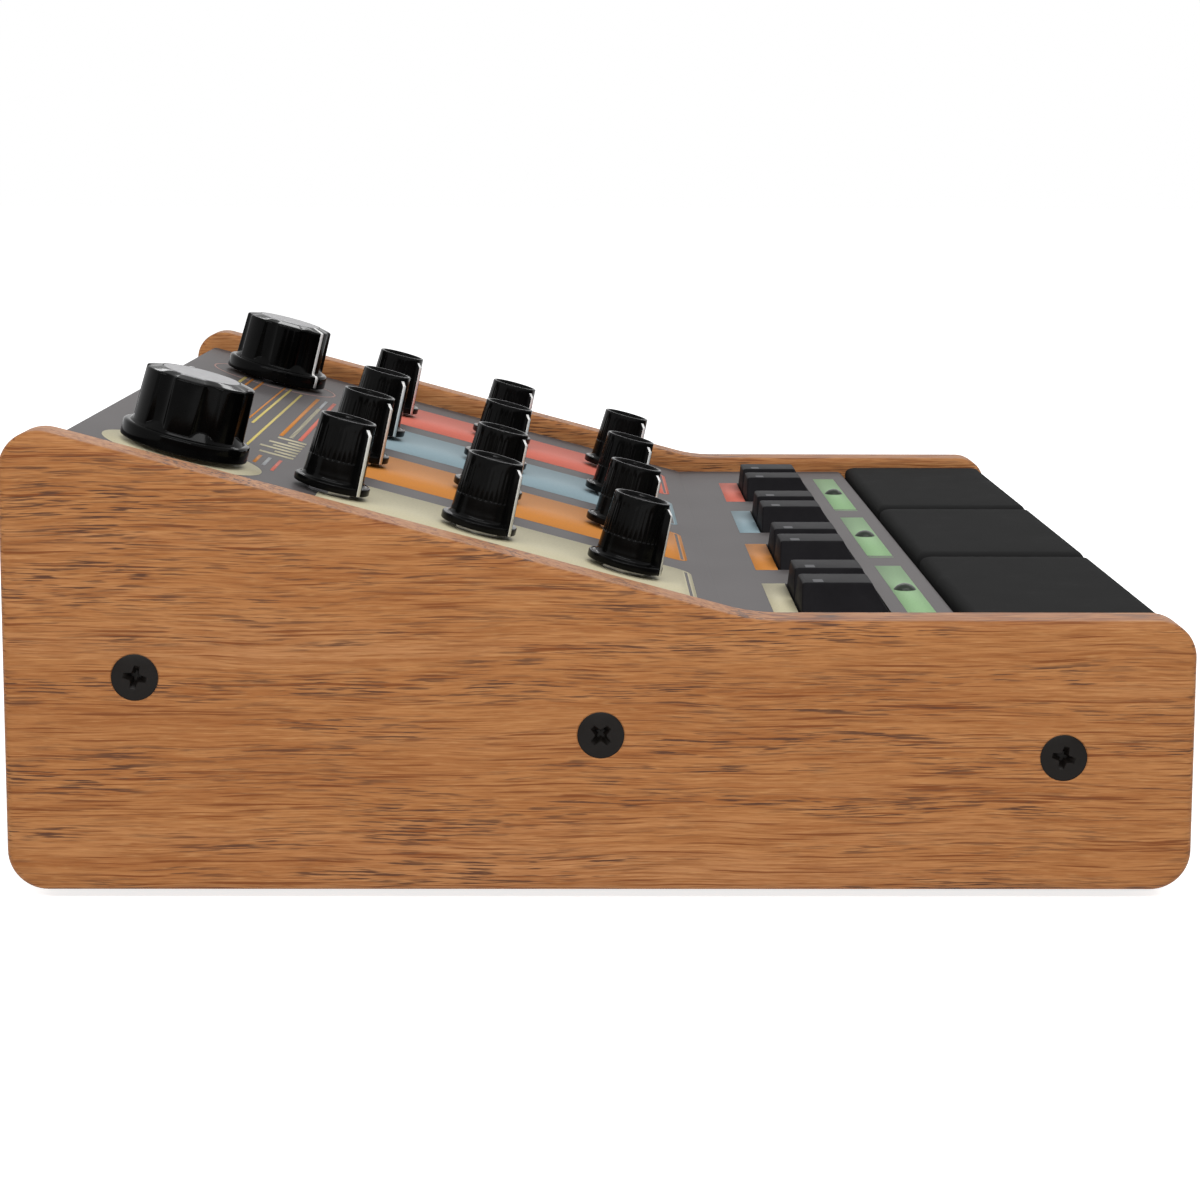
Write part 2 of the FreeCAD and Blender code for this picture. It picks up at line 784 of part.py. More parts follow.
def key_cap():
    """Hollow tapered cap with a stem, its foot centred on the origin, zero on the cover's face."""
    width, depth = key_width(), key_slot_depth - 2.0 * key_slot_clearance
    top_depth = depth - key_front_rake - key_rear_rake
    top_y = (key_front_rake - key_rear_rake) / 2.0
    foot = box(-width / 2, width / 2, -depth / 2, depth / 2, -key_skirt, 0)
    top = rectangle(0, top_y, key_top_width, top_depth, key_rise)
    crown = Part.makeLoft([rectangle(0, 0, width, depth, 0), top], True, True)

    def upper(b):
        return b.ZMax > 0.01
    cap = fuse([foot, crown])
    cap = cap.makeFillet(key_edge_radius, edges_where(cap, upper))
    in_width, in_depth = width - 2 * key_wall, depth - 2 * key_wall
    hollow_foot = box(-in_width / 2, in_width / 2, -in_depth / 2, in_depth / 2, -key_skirt, 0)
    in_top_width, in_top_depth = key_top_width - 2 * key_wall, top_depth - 2 * key_wall
    in_top = rectangle(0, top_y, in_top_width, in_top_depth, key_rise - key_wall)
    hollow_crown = Part.makeLoft([rectangle(0, 0, in_width, in_depth, 0), in_top], True, True)
    half = key_stem / 2.0
    stem = box(-half, half, -half, half, -key_stem_below_cover, key_rise - key_wall)
    window_rear = depth / 2.0 - key_rear_rake - key_window_from_rear
    window_left = key_window_from_side - key_top_width / 2.0
    window = box(
        window_left, window_left + key_window_width,
        window_rear - key_window_depth, window_rear,
        key_rise - key_window_recess, 2.0 * key_rise,
    )
    return fuse([cap.cut([hollow_foot, hollow_crown, window]), stem])


def key_y():
    """Y of the middle of the keys."""
    return y_at(key_slot_rear + key_slot_depth / 2.0)


def make_keys():
    cap = key_cap()
    for i, x in enumerate(key_places()):
        save("key_" + str(i + 1), at(cap, x, key_y(), flat_height))


def make_switches():
    """One switch under each key, with a socket for the key's stem."""
    half = switch_size / 2.0
    socket = key_stem / 2.0 + switch_hole_clearance
    top = switch_height
    body = box(-half, half, -half, half, 0, top)
    body = body.cut(box(-socket, socket, -socket, socket, top - switch_hole_depth, top))
    save("key_switches", Part.makeCompound([at(body, x, key_y(), key_board_top) for x in key_places()]))


def make_lamps():
    """Round lamps through the cover, standing on the key board on two leads."""
    bottom = -lamp_body_below_cover
    dome_radius = (lamp_radius ** 2 + lamp_dome_height ** 2) / (2.0 * lamp_dome_height)
    ball = Part.makeSphere(dome_radius, FreeCAD.Vector(0, 0, lamp_dome_height - dome_radius))
    barrel = cylinder(lamp_radius, bottom, lamp_dome_height)
    dome = cylinder(2.0 * lamp_radius, 0, 2.0 * lamp_dome_height).cut(ball)
    flange = cylinder(lamp_flange_radius, bottom, bottom + lamp_flange_height)
    aside = lamp_lead_pitch / 2.0
    leads = [cylinder(lamp_lead_radius, -key_board_drop, bottom, x) for x in (-aside, aside)]
    lamp = fuse([barrel.cut(dome), flange] + leads)
    y = y_at(lamp_from_rear)
    save("lamps", Part.makeCompound([at(lamp, x, y, flat_height) for x in lamp_places()]))


def make_pads():
    """Pads side by side between the cheeks, the outer ones wider, with a thin sensor under each."""
    wall = inner_width / 2.0 - pad_side_clearance
    gaps = [column_x(i, pad_gap_pitch, pad_count - 1) for i in range(pad_count - 1)]
    starts = [-wall] + [gap + pad_gap / 2.0 for gap in gaps]
    ends = [gap - pad_gap / 2.0 for gap in gaps] + [wall]
    rear = pad_bay_from_rear + pad_rear_gap
    top = flat_height + pad_proud
    sensors = []
    for i, (start, end) in enumerate(zip(starts, ends)):
        pad = box(start, end, y_at(rear), y_at(front_from_rear), pad_bottom, top)

        def rounded(b):
            return b.ZLength > pad_thickness / 2.0 or b.ZMin > top - 0.01
        pad = pad.makeFillet(pad_edge_radius, edges_where(pad, rounded))
        save("pad_" + str(i + 1), pad)
        m = sensor_margin
        y0, y1 = y_at(rear + m), y_at(front_from_rear - m)
        sensors.append(box(start + m, end - m, y0, y1, deck_top, deck_top + sensor_thickness))
    save("pad_sensors", Part.makeCompound(sensors))


# Jacks and inlet in the rear wall, built looking out towards +Y from the wall's inner face

def jack_holes():
    """X and hole radius of everything that passes through the rear wall."""
    audio = jack_bushing_radius + bushing_hole_clearance
    power = power_face_radius + bushing_hole_clearance
    return [(jack_x, audio), (jack_x + jack_pitch, audio), (power_x, power)]


def rod_back(radius, y0, y1):
    """A cylinder along Y between two distances."""
    return Part.makeCylinder(radius, y1 - y0, FreeCAD.Vector(0, y0, 0), FreeCAD.Vector(0, 1, 0))


def audio_jack():
    """Boxed jack with a threaded bushing and a blind bore."""
    half = jack_body_size / 2.0
    body = box(-half, half, -jack_body_length, 0, -half, half)
    bushing = rod_back(jack_bushing_radius, 0, jack_bushing_length)
    bore = rod_back(jack_bore_radius, jack_bushing_length - jack_bore_length, jack_bushing_length)
    return fuse([body, bushing]).cut(bore)


def power_inlet():
    """Barrel inlet whose face stands a little out of the wall, with a centre pin."""
    half = power_body_size / 2.0
    body = box(-half, half, -power_body_length, 0, -half, half)
    end = sheet + power_face_proud
    face = rod_back(power_face_radius, 0, end)
    bore = rod_back(power_bore_radius, end - power_bore_length, end)
    pin = rod_back(power_pin_radius, -power_bore_length, end - power_pin_recess)
    return fuse([fuse([body, face]).cut(bore), pin])


def make_rear_parts():
    inner = y_at(rear_wall_face + sheet)
    xs = (jack_x, jack_x + jack_pitch)
    for name, x in zip(("input_jack", "output_jack"), xs):
        save(name, at(audio_jack(), x, inner, jack_height))
    upright = hexagon(jack_nut_flats, 0, jack_nut_height)
    upright = upright.cut(cylinder(jack_bushing_radius + thread_clearance, 0, jack_nut_height))
    upright.rotate(FreeCAD.Vector(0, 0, 0), FreeCAD.Vector(1, 0, 0), -90)
    nuts = [at(upright, x, inner + sheet, jack_height) for x in xs]
    save("jack_nuts", Part.makeCompound(nuts))
    save("power_inlet", at(power_inlet(), power_x, inner, jack_height))


def main():
    os.makedirs("parts", exist_ok=True)
    make_cheeks()
    make_cheek_screws()
    make_cover()
    make_tray()
    make_base_screws()
    make_feet()
    make_pots()
    make_main_board()
    make_key_board()
    make_knobs()
    make_keys()
    make_switches()
    make_lamps()
    make_pads()
    make_rear_parts()


main()
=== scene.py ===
import json
import math

import bpy
import numpy as np
from mathutils import Matrix, Vector
from mathutils.geometry import tessellate_polygon

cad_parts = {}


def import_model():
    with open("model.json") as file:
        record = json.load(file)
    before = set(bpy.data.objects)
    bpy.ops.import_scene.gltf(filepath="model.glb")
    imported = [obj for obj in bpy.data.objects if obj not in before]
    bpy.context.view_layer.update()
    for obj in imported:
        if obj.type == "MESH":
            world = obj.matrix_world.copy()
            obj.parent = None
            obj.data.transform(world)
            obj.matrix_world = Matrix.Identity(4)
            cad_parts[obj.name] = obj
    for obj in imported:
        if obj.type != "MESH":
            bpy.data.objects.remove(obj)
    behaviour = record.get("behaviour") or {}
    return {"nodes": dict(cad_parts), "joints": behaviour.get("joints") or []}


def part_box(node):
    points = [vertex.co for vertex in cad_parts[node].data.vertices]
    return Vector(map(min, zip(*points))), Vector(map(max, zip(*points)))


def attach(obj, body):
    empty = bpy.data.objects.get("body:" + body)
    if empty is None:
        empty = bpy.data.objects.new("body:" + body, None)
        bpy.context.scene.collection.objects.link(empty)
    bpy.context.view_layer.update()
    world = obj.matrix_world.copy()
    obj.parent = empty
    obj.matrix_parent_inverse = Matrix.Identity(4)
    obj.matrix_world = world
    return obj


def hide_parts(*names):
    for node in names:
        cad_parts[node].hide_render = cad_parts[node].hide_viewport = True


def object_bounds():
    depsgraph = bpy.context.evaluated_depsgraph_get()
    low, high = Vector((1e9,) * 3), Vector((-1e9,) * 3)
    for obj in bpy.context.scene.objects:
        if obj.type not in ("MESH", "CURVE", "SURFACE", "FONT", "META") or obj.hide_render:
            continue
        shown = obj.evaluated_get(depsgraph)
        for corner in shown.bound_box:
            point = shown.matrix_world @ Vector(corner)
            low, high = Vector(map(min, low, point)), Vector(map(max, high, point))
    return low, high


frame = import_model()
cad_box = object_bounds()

# Looks of a desktop effects processor. Lengths are millimetres, turned into metres when a mesh is made.
# Frame: +Z up, the user in front at -Y, the near cheek of the photograph at -X.

MM = 0.001
CASE = "case"

# Sizes read from the frame
joints = {joint["name"]: joint for joint in frame["joints"]}


def box_mm(node):
    """Lowest and highest corner of a CAD node as two numpy arrays in millimetres."""
    low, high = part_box(node)
    return np.array(low) / MM, np.array(high) / MM


case_low, case_high = np.array(cad_box[0]) / MM, np.array(cad_box[1]) / MM
cover_low, cover_high = box_mm("top_cover")
slope_axis = np.array(joints["front_knob_1_turn"]["axis"])
slope = math.atan2(-slope_axis[1], slope_axis[2])
front_row = np.array(joints["front_knob_1_turn"]["pos_m"]) / MM
large_place = np.array(joints["left_large_knob_turn"]["pos_m"]) / MM
column_x = [joints["front_knob_%d_turn" % (i + 1)]["pos_m"][0] / MM for i in range(4)]
flat_z = joints["key_1_press"]["pos_m"][2] / MM
bend_y = front_row[1] - (front_row[2] - flat_z) / math.tan(slope)

# Angle between faces from which an edge is shaded sharp
SHARP = 32.0

# Cheek
CHEEK_FRONT_HEIGHT = 54.3
CHEEK_REAR_HEIGHT = 93.9
CHEEK_CORNER = 8.0
CHEEK_FRONT_CORNER = 7.4
CHEEK_REAR_CORNER = 7.7
CHEEK_BEND = 40.0
CHEEK_EDGE = 1.8
SCREW_HEAD = 4.75
SCREW_SINK = 2.6
SCREW_SHANK = 2.5
SCREW_FIT = 0.12
SCREW_LENGTH = 15.0
SCREW_FACE = 0.12
SCREW_RIM = 0.35
SCREW_STEPS = 60
RECESS_REACH = 2.4
RECESS_WIDTH = 1.35
RECESS_DEPTH = 2.4
SCREW_TURNS = (12.0, 45.0, 14.0)

# Small knob, heights above the cover
KNOB_GAP = 1.15
KNOB_FLANGE = 8.3
KNOB_FLANGE_TOP = 2.85
KNOB_WAIST = 5.6
KNOB_FLARE = 0.15
KNOB_FILLET = 0.9
KNOB_TOP = 6.1
KNOB_TAPER = 0.0413
KNOB_HEIGHT = 16.55
KNOB_DISH = 5.5
KNOB_DISH_DEPTH = 0.95
KNOB_DISH_WALL = 0.6
KNOB_ROUNDING = 0.3
KNOB_RIM_OUTSIDE = 0.26
KNOB_RIM_INSIDE = 0.22
KNOB_RIBS = 36
KNOB_RIB_DEPTH = 0.2
KNOB_RIB_FADE = 0.7
KNOB_RIB_START = 7.5
KNOB_RIB_END = 15.3
KNOB_RIB_RISE = 0.25
KNOB_RIB_FALL = 1.4
BORE = 3.02
BORE_END = 13.02
CAVITY = 5.7
CAVITY_TOP = 5.5
POINTER_AT_STOP = 20.0
BLADE_WIDTH = 1.5
BLADE_FOOT_REACH = 8.45
BLADE_HEAD_REACH = 7.5
BLADE_HEAD_HEIGHT = 14.4
BLADE_CHAMFER = 1.1
BLADE_ROUNDING = 0.2
CREST_WIDTH = 0.95
MARK_WIDTH = 1.1
MARK_LIFT = 0.05

# Large knob
SKIRT = 13.85
SKIRT_TOP = 4.8
SKIRT_ROUNDING = 0.8
LARGE_BODY = 12.2
LARGE_BODY_TOP = 11.85
LARGE_SHOULDER = 16.7
LARGE_EDGE = 0.5
LARGE_TOP = 17.5
INSERT = 8.4
INSERT_FIT = 0.1
INSERT_SEAT = 16.5
FLUTES = 7
FLUTE_RADIUS = 4.0
FLUTE_DEPTH = 1.2
FLUTE_SOFTNESS = 0.12
CONE_FOOT = 12.55
CONE_LEAN = 0.86
CONE_HEIGHT = 1.8

# Keys and pads
KEY_TOP_WIDTH = 12.0
KEY_RISE = 6.15
KEY_SKIRT = 2.5
KEY_FRONT_RAKE = 3.6
KEY_REAR_RAKE = 0.4
KEY_EDGE = 0.5
KEY_EDGE_SPREAD = 1.4
KEY_FOOT_CORNER = 0.5
KEY_CORNER = 0.6
WINDOW_FROM_MIDDLE = 3.7
WINDOW_FROM_REAR = 3.45
WINDOW_WIDTH = 3.6
WINDOW_DEPTH = 2.1
WINDOW_CORNER = 0.3
PAD_EDGE = 2.2
PAD_FRONT_EDGE = 1.5
PAD_SIDE_EDGE = 4.6
PAD_CORNER = 2.2
PAD_CROWN = 0.1
PAD_MIDDLE_WIDTH = 40.0
PAD_MIDDLE_DEPTH = 4.0
PAD_MIDDLE_CORNER = 0.8

# Printed bands, in millimetres up the slope from the bend and across the case
PRINT_LIFT = 0.03
PRINT_THICKNESS = 0.02
BAND_WIDTH = 46.5
BAND_FOOT = 5.2
BAND_HEAD = 89.0
BAND_CORNER = 4.0
SLIT_INSET = 2.6
SLIT_FOOT = 0.9
SLIT_HEAD = 1.6
LABEL_HALF = 20.4
LABEL_REAR = 5.6
LABEL_FRONT = 0.45
LAMP_FLANGE = 2.9
STRIP_HALF_WIDTH = 33.2
STRIP_HALF_DEPTH = 3.0
TICK_INSIDE = 34.9
TICK_OUTSIDE = 35.6
RING_OUTSIDE = 17.5
RING_LINE = 0.5


# Meshes

def link_piece(name, mesh, material, body, sharp=SHARP):
    """An object of a mesh that rides on a body, shaded smooth but for edges over the sharp angle."""
    mesh.shade_smooth()
    mesh.set_sharp_from_angle(angle=math.radians(sharp))
    mesh.materials.append(material)
    piece = bpy.data.objects.new(name, mesh)
    bpy.context.scene.collection.objects.link(piece)
    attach(piece, body)
    return piece


def make_mesh(name, points, faces):
    """A mesh from points in millimetres and lists of point numbers."""
    mesh = bpy.data.meshes.new(name)
    mesh.from_pydata((np.asarray(points) * MM).tolist(), [], [list(map(int, face)) for face in faces])
    mesh.validate()
    mesh.update()
    return mesh


def thicken(piece, thickness):
    """Give a thin skin a thickness in millimetres below its face."""
    layer = piece.modifiers.new("Thickness", "SOLIDIFY")
    layer.thickness = thickness * MM
    layer.offset = -1.0


def strip_faces(rows, columns, closed=True, start=0):
    """Quads of a grid, row by row. With columns anticlockwise and rows going up, they face outwards."""
    last = columns if closed else columns - 1
    i, j = np.meshgrid(np.arange(rows - 1), np.arange(last), indexing="ij")
    a, b = i * columns + j, i * columns + (j + 1) % columns
    return (np.stack([a, b, b + columns, a + columns], -1).reshape(-1, 4) + start).tolist()


def ring_surface(name, rings, material, body, sharp=SHARP):
    """A closed skin through rings of equal point counts, with a cap on the first ring and on the last."""
    rows, columns = rings.shape[:2]
    faces = strip_faces(rows, columns)
    faces.append(list(range(columns))[::-1])
    faces.append(list(range((rows - 1) * columns, rows * columns)))
    return link_piece(name, make_mesh(name, rings.reshape(-1, 3), faces), material, body, sharp)


def rounded_path(corners, closed=False, steps=6):
    """Points along a path of (a, b, radius) corners, each rounded by an arc tangent to its two sides.

    The arc's centre lies on the corner's bisector at radius / sin(half the corner's angle), and its
    points are spread evenly over the turn.
    """
    points = []
    count = len(corners)
    for i, (a, b, radius) in enumerate(corners):
        here = np.array([a, b], float)
        ends = not closed and i in (0, count - 1)
        if ends or radius <= 0:
            points.append(here)
            continue
        back = np.array(corners[i - 1][:2], float) - here
        ahead = np.array(corners[(i + 1) % count][:2], float) - here
        back, ahead = back / np.linalg.norm(back), ahead / np.linalg.norm(ahead)
        half = math.acos(float(np.clip(back @ ahead, -1, 1))) / 2.0
        bisector = (back + ahead) / np.linalg.norm(back + ahead)
        centre = here + bisector * radius / math.sin(half)
        first = here + back * radius / math.tan(half) - centre
        last = here + ahead * radius / math.tan(half) - centre
        turn = math.atan2(first[0] * last[1] - first[1] * last[0], first @ last)
        for angle in np.linspace(0.0, turn, steps + 1):
            c, s = math.cos(angle), math.sin(angle)
            points.append(centre + np.array([c * first[0] - s * first[1], s * first[0] + c * first[1]]))
    return np.array(points)


def path_normals(path, closed=False):
    """Unit normals to the right of a path in the plane, each the mean of its two sides."""
    if closed:
        ahead = np.roll(path, -1, 0) - path
        back = path - np.roll(path, 1, 0)
    else:
        steps = np.diff(path, axis=0)
        ahead, back = np.vstack([steps, steps[-1:]]), np.vstack([steps[:1], steps])
    ahead /= np.linalg.norm(ahead, axis=1)[:, None]
    back /= np.linalg.norm(back, axis=1)[:, None]
    along = ahead + back
    along /= np.linalg.norm(along, axis=1)[:, None]
    return np.stack([along[:, 1], -along[:, 0]], -1)


def turned_points(profile, columns, radius_at=None):
    """Rings of a profile of (radius, height) points turned about the upright axis.

    Column k stands at angle 2 pi k / columns from +X. Where radius_at is given, each radius is
    radius_at(radius, height, angle), which cuts ribs or flutes.
    """
    angle = np.linspace(0.0, 2.0 * np.pi, columns, endpoint=False)[None, :]
    radius = np.repeat(profile[:, :1], columns, 1)
    height = np.repeat(profile[:, 1:], columns, 1)
    if radius_at is not None:
        radius = radius_at(radius, height, angle)
    return np.stack([radius * np.cos(angle), radius * np.sin(angle), height], -1)


def rounded_rectangle(x, y, width, depth, corner, z, steps=5):
    """A level rectangle with rounded corners, anticlockwise from above."""
    w, d = width / 2.0, depth / 2.0
    corners = [(w, -d, corner), (w, d, corner), (-w, d, corner), (-w, -d, corner)]
    path = rounded_path(corners, closed=True, steps=steps)
    return np.column_stack([path[:, 0] + x, path[:, 1] + y, np.full(len(path), z)])


# Places

def on_joint(points, joint_name, pointer):
    """Move points that stand on the XY plane to a knob's axis, turned clockwise by the pointer's angle.

    Local Z goes along the axis and local Y up the slope.
    """
    joint = joints[joint_name]
    angle = math.radians(-pointer)
    c, s = math.cos(angle), math.sin(angle)
    x = c * points[..., 0] - s * points[..., 1]
    y = s * points[..., 0] + c * points[..., 1]
    z = points[..., 2]
    up = np.array([0.0, math.cos(slope), math.sin(slope)])
    across = np.array([1.0, 0.0, 0.0])
    origin = np.array(joint["pos_m"]) / MM
    return origin + x[..., None] * across + y[..., None] * up + z[..., None] * slope_axis


def on_cover(x, up, lift):
    """Points over the cover's face: up the slope from the bend, or on the level part where up is negative."""
    x, up = np.broadcast_arrays(np.asarray(x, float), np.asarray(up, float))
    steep = up > 0
    y = bend_y + np.where(steep, up * math.cos(slope) - lift * math.sin(slope), up)
    z = flat_z + np.where(steep, up * math.sin(slope) + lift * math.cos(slope), lift)
    return np.stack([x, y, z], -1)


def up_of(place):
    """Distance up the slope from the bend of a point on the slope."""
    return (place[1] - bend_y) / math.cos(slope)


def up_of_y(y):
    """The same distance for a point of the level part, which is negative."""
    return y - bend_y


# Materials

class Paint:
    """A material's nodes, with short calls for the ones used here."""

    def __init__(self, name, roughness, specular=0.5, metallic=0.0):
        self.material = bpy.data.materials.new(name)
        self.material.use_nodes = True
        self.tree = self.material.node_tree
        self.shader = self.tree.nodes["Principled BSDF"]
        self.shader.inputs["Roughness"].default_value = roughness
        self.shader.inputs["Specular IOR Level"].default_value = specular
        self.shader.inputs["Metallic"].default_value = metallic

    def link(self, source, target):
        """Join an output to an input, or set the input's value."""
        if hasattr(source, "is_linked"):
            self.tree.links.new(source, target)
        else:
            target.default_value = source

    def coordinates(self, scale=(1.0, 1.0, 1.0)):
        """Object coordinates in millimetres, scaled along each axis."""
        source = self.tree.nodes.new("ShaderNodeTexCoord")
        return self.stretched(source.outputs["Object"], [s / MM for s in scale])

    def stretched(self, vector, scale, location=(0.0, 0.0, 0.0)):
        """A vector scaled along each axis and moved."""
        mapping = self.tree.nodes.new("ShaderNodeMapping")
        mapping.inputs["Scale"].default_value = scale
        mapping.inputs["Location"].default_value = location
        self.tree.links.new(vector, mapping.inputs["Vector"])
        return mapping.outputs["Vector"]

    def swayed(self, sizes, amount):
        """Coordinates in millimetres, pushed about by noise with a size and an amount for each axis."""
        plain = self.coordinates()
        node = self.tree.nodes.new("ShaderNodeTexNoise")
        node.inputs["Scale"].default_value = 1.0
        self.tree.links.new(self.stretched(plain, [1.0 / size for size in sizes]), node.inputs["Vector"])
        push = self.tree.nodes.new("ShaderNodeVectorMath")
        push.operation = "MULTIPLY_ADD"
        self.tree.links.new(node.outputs["Color"], push.inputs[0])
        push.inputs[1].default_value = amount
        self.tree.links.new(plain, push.inputs[2])
        return push.outputs["Vector"]

    def noise(self, vector, detail=2.0, roughness=0.5):
        """Smooth random values from 0 to 1, about one swell to each unit of the vector."""
        node = self.tree.nodes.new("ShaderNodeTexNoise")
        node.inputs["Scale"].default_value = 1.0
        node.inputs["Detail"].default_value = detail
        node.inputs["Roughness"].default_value = roughness
        self.tree.links.new(vector, node.inputs["Vector"])
        return node.outputs["Fac"]

    def ramp(self, value, *stops):
        """A colour or grey for a value, from (position, colour) stops."""
        node = self.tree.nodes.new("ShaderNodeValToRGB")
        elements = node.color_ramp.elements
        while len(elements) < len(stops):
            elements.new(0.5)
        for element, (position, colour) in zip(elements, stops):
            element.position = position
            element.color = grey(colour) if isinstance(colour, float) else colour
        self.tree.links.new(value, node.inputs["Fac"])
        return node.outputs["Color"]

    def mix(self, share, first, second):
        """Two colours mixed by a share."""
        node = self.tree.nodes.new("ShaderNodeMix")
        node.data_type = "RGBA"
        self.link(share, node.inputs["Factor"])
        self.link(first, node.inputs["A"])
        self.link(second, node.inputs["B"])
        return node.outputs["Result"]

    def math(self, operation, first, second):
        """One operation on two values."""
        node = self.tree.nodes.new("ShaderNodeMath")
        node.operation = operation
        self.link(first, node.inputs[0])
        self.link(second, node.inputs[1])
        return node.outputs["Value"]

    def colour(self, source):
        """Base colour from an output or a plain colour."""
        self.link(source, self.shader.inputs["Base Color"])

    def roughness(self, source, low, high):
        """Roughness that runs from low to high with a value."""
        node = self.tree.nodes.new("ShaderNodeMapRange")
        node.inputs["To Min"].default_value = low
        node.inputs["To Max"].default_value = high
        self.tree.links.new(source, node.inputs["Value"])
        self.tree.links.new(node.outputs["Result"], self.shader.inputs["Roughness"])

    def bump(self, height, depth_mm, strength=1.0):
        """Relief of a given depth from a grey value."""
        node = self.tree.nodes.new("ShaderNodeBump")
        node.inputs["Strength"].default_value = strength
        node.inputs["Distance"].default_value = depth_mm * MM
        self.tree.links.new(height, node.inputs["Height"])
        self.tree.links.new(node.outputs["Normal"], self.shader.inputs["Normal"])


def grey(value):
    """A grey of equal parts."""
    return (value, value, value, 1.0)


def srgb(red, green, blue):
    """A linear colour from screen values of 0 to 255."""
    parts = np.array([red, green, blue]) / 255.0
    linear = np.where(parts <= 0.04045, parts / 12.92, ((parts + 0.055) / 1.055) ** 2.4)
    return (float(linear[0]), float(linear[1]), float(linear[2]), 1.0)


def wood():
    """Straight-grained wood under satin lacquer: broad tones, streaks, fine fibres and dark pores along Y."""
    paint = Paint("cheek_wood", 0.42, specular=0.08)
    place = paint.swayed((30.0, 45.0, 18.0), (2.5, 0.0, 2.5))

    def grain(thick, long, detail=3.0, roughness=0.6, shift=0.0):
        """Noise drawn out along the grain, and broader on the narrow edges than on the face."""
        scale = (0.25 / thick, 1.0 / long, 1.0 / thick)
        return paint.noise(paint.stretched(place, scale, (shift, shift, shift)), detail, roughness)

    tones = grain(14.0, 170.0, 2.0)
    base = paint.ramp(tones, (0.3, srgb(169, 114, 69)), (0.5, srgb(177, 122, 75)),
                      (0.7, srgb(183, 130, 85)))
    streaks = grain(1.6, 45.0, 3.0, 0.6, 11.0)
    streaked = paint.mix(paint.ramp(streaks, (0.48, 0.0), (0.72, 0.55)), base, srgb(143, 83, 43))
    fibres = grain(0.38, 12.0, 3.0, 0.7, 23.0)
    grained = paint.mix(paint.ramp(fibres, (0.42, 0.0), (0.66, 0.7)), streaked, srgb(133, 79, 41))
    shine = grain(0.4, 5.0, 2.0, 0.6, 37.0)
    flecked = paint.mix(paint.ramp(shine, (0.55, 0.0), (0.8, 0.4)), grained, srgb(200, 152, 101))
    lines = grain(0.5, 26.0, 2.0, 0.5, 61.0)
    lined = paint.mix(paint.ramp(lines, (0.60, 0.0), (0.67, 0.85)), flecked, srgb(118, 66, 36))
    pores = grain(0.34, 8.0, 2.0, 0.5, 41.0)
    clusters = grain(6.0, 60.0, 3.0, 0.6, 53.0)
    dark = paint.math("MULTIPLY", paint.ramp(pores, (0.52, 0.0), (0.62, 1.0)),
                      paint.ramp(clusters, (0.44, 0.1), (0.6, 1.0)))
    paint.colour(paint.mix(dark, lined, srgb(92, 62, 46)))
    paint.roughness(fibres, 0.36, 0.5)
    paint.bump(paint.math("SUBTRACT", paint.math("MULTIPLY", fibres, 0.35), dark), 0.06, 0.7)
    return paint.material


def lacquer_grain(paint):
    """The fine texture of the cover's lacquer, which shows through the print too."""
    return paint.noise(paint.coordinates((2.2, 2.2, 2.2)), 3.0, 0.6)


def textured_paint():
    """Dark grey textured lacquer on the steel cover."""
    paint = Paint("cover_paint", 0.55, specular=0.08)
    grain = lacquer_grain(paint)
    clouds = paint.noise(paint.coordinates((0.02, 0.02, 0.02)))
    tone = paint.ramp(clouds, (0.3, srgb(80, 76, 76)), (0.7, srgb(86, 82, 82)))
    paint.colour(paint.mix(paint.ramp(grain, (0.4, 0.0), (0.7, 0.25)), tone, srgb(108, 104, 104)))
    paint.roughness(grain, 0.44, 0.6)
    paint.bump(grain, 0.03, 0.5)
    return paint.material


def printed_ink(name, colour):
    """Silk-screened ink that follows the fine texture below it."""
    paint = Paint(name, 0.55, specular=0.08)
    grain = lacquer_grain(paint)
    paint.colour(paint.mix(paint.ramp(grain, (0.45, 0.0), (0.8, 0.18)), colour, srgb(70, 68, 70)))
    paint.bump(grain, 0.02, 0.4)
    return paint.material


def moulded(name, colour, roughness, specular=0.5, grain_mm=0.35, depth=0.01):
    """Moulded plastic or rubber with a fine even grain and faint handling marks."""
    paint = Paint(name, roughness, specular=specular)
    size = 1.0 / grain_mm
    grain = paint.noise(paint.coordinates((size, size, size)))
    marks = paint.noise(paint.coordinates((0.09, 0.09, 0.09)), 4.0, 0.7)
    lighter = tuple(min(1.0, c * 1.5 + 0.004) for c in colour[:3]) + (1.0,)
    paint.colour(paint.mix(paint.ramp(marks, (0.4, 0.0), (0.75, 0.5)), colour, lighter))
    paint.roughness(marks, roughness * 0.85, min(1.0, roughness * 1.2))
    paint.bump(grain, depth, 0.5)
    return paint.material


def metal(name, colour, roughness):
    """Plain metal with fine brushed marks, six times as long along Y as across."""
    paint = Paint(name, roughness, metallic=1.0)
    along = 0.4
    marks = paint.noise(paint.coordinates((along * 6.0, along, along * 6.0)), 3.0, 0.6)
    darker = tuple(c * 0.75 for c in colour[:3]) + (1.0,)
    paint.colour(paint.mix(paint.ramp(marks, (0.35, 0.0), (0.7, 0.6)), colour, darker))
    paint.roughness(marks, roughness * 0.8, roughness * 1.3)
    paint.bump(marks, 0.01, 0.3)
    return paint.material


def circuit_board():
    """Green varnished board with faint darker tracks."""
    paint = Paint("board_varnish", 0.35)
    tracks = paint.noise(paint.coordinates((0.5, 0.12, 0.5)))
    paint.colour(paint.ramp(tracks, (0.45, srgb(28, 78, 48)), (0.5, srgb(40, 98, 62))))
    paint.bump(tracks, 0.03, 0.5)
    return paint.material


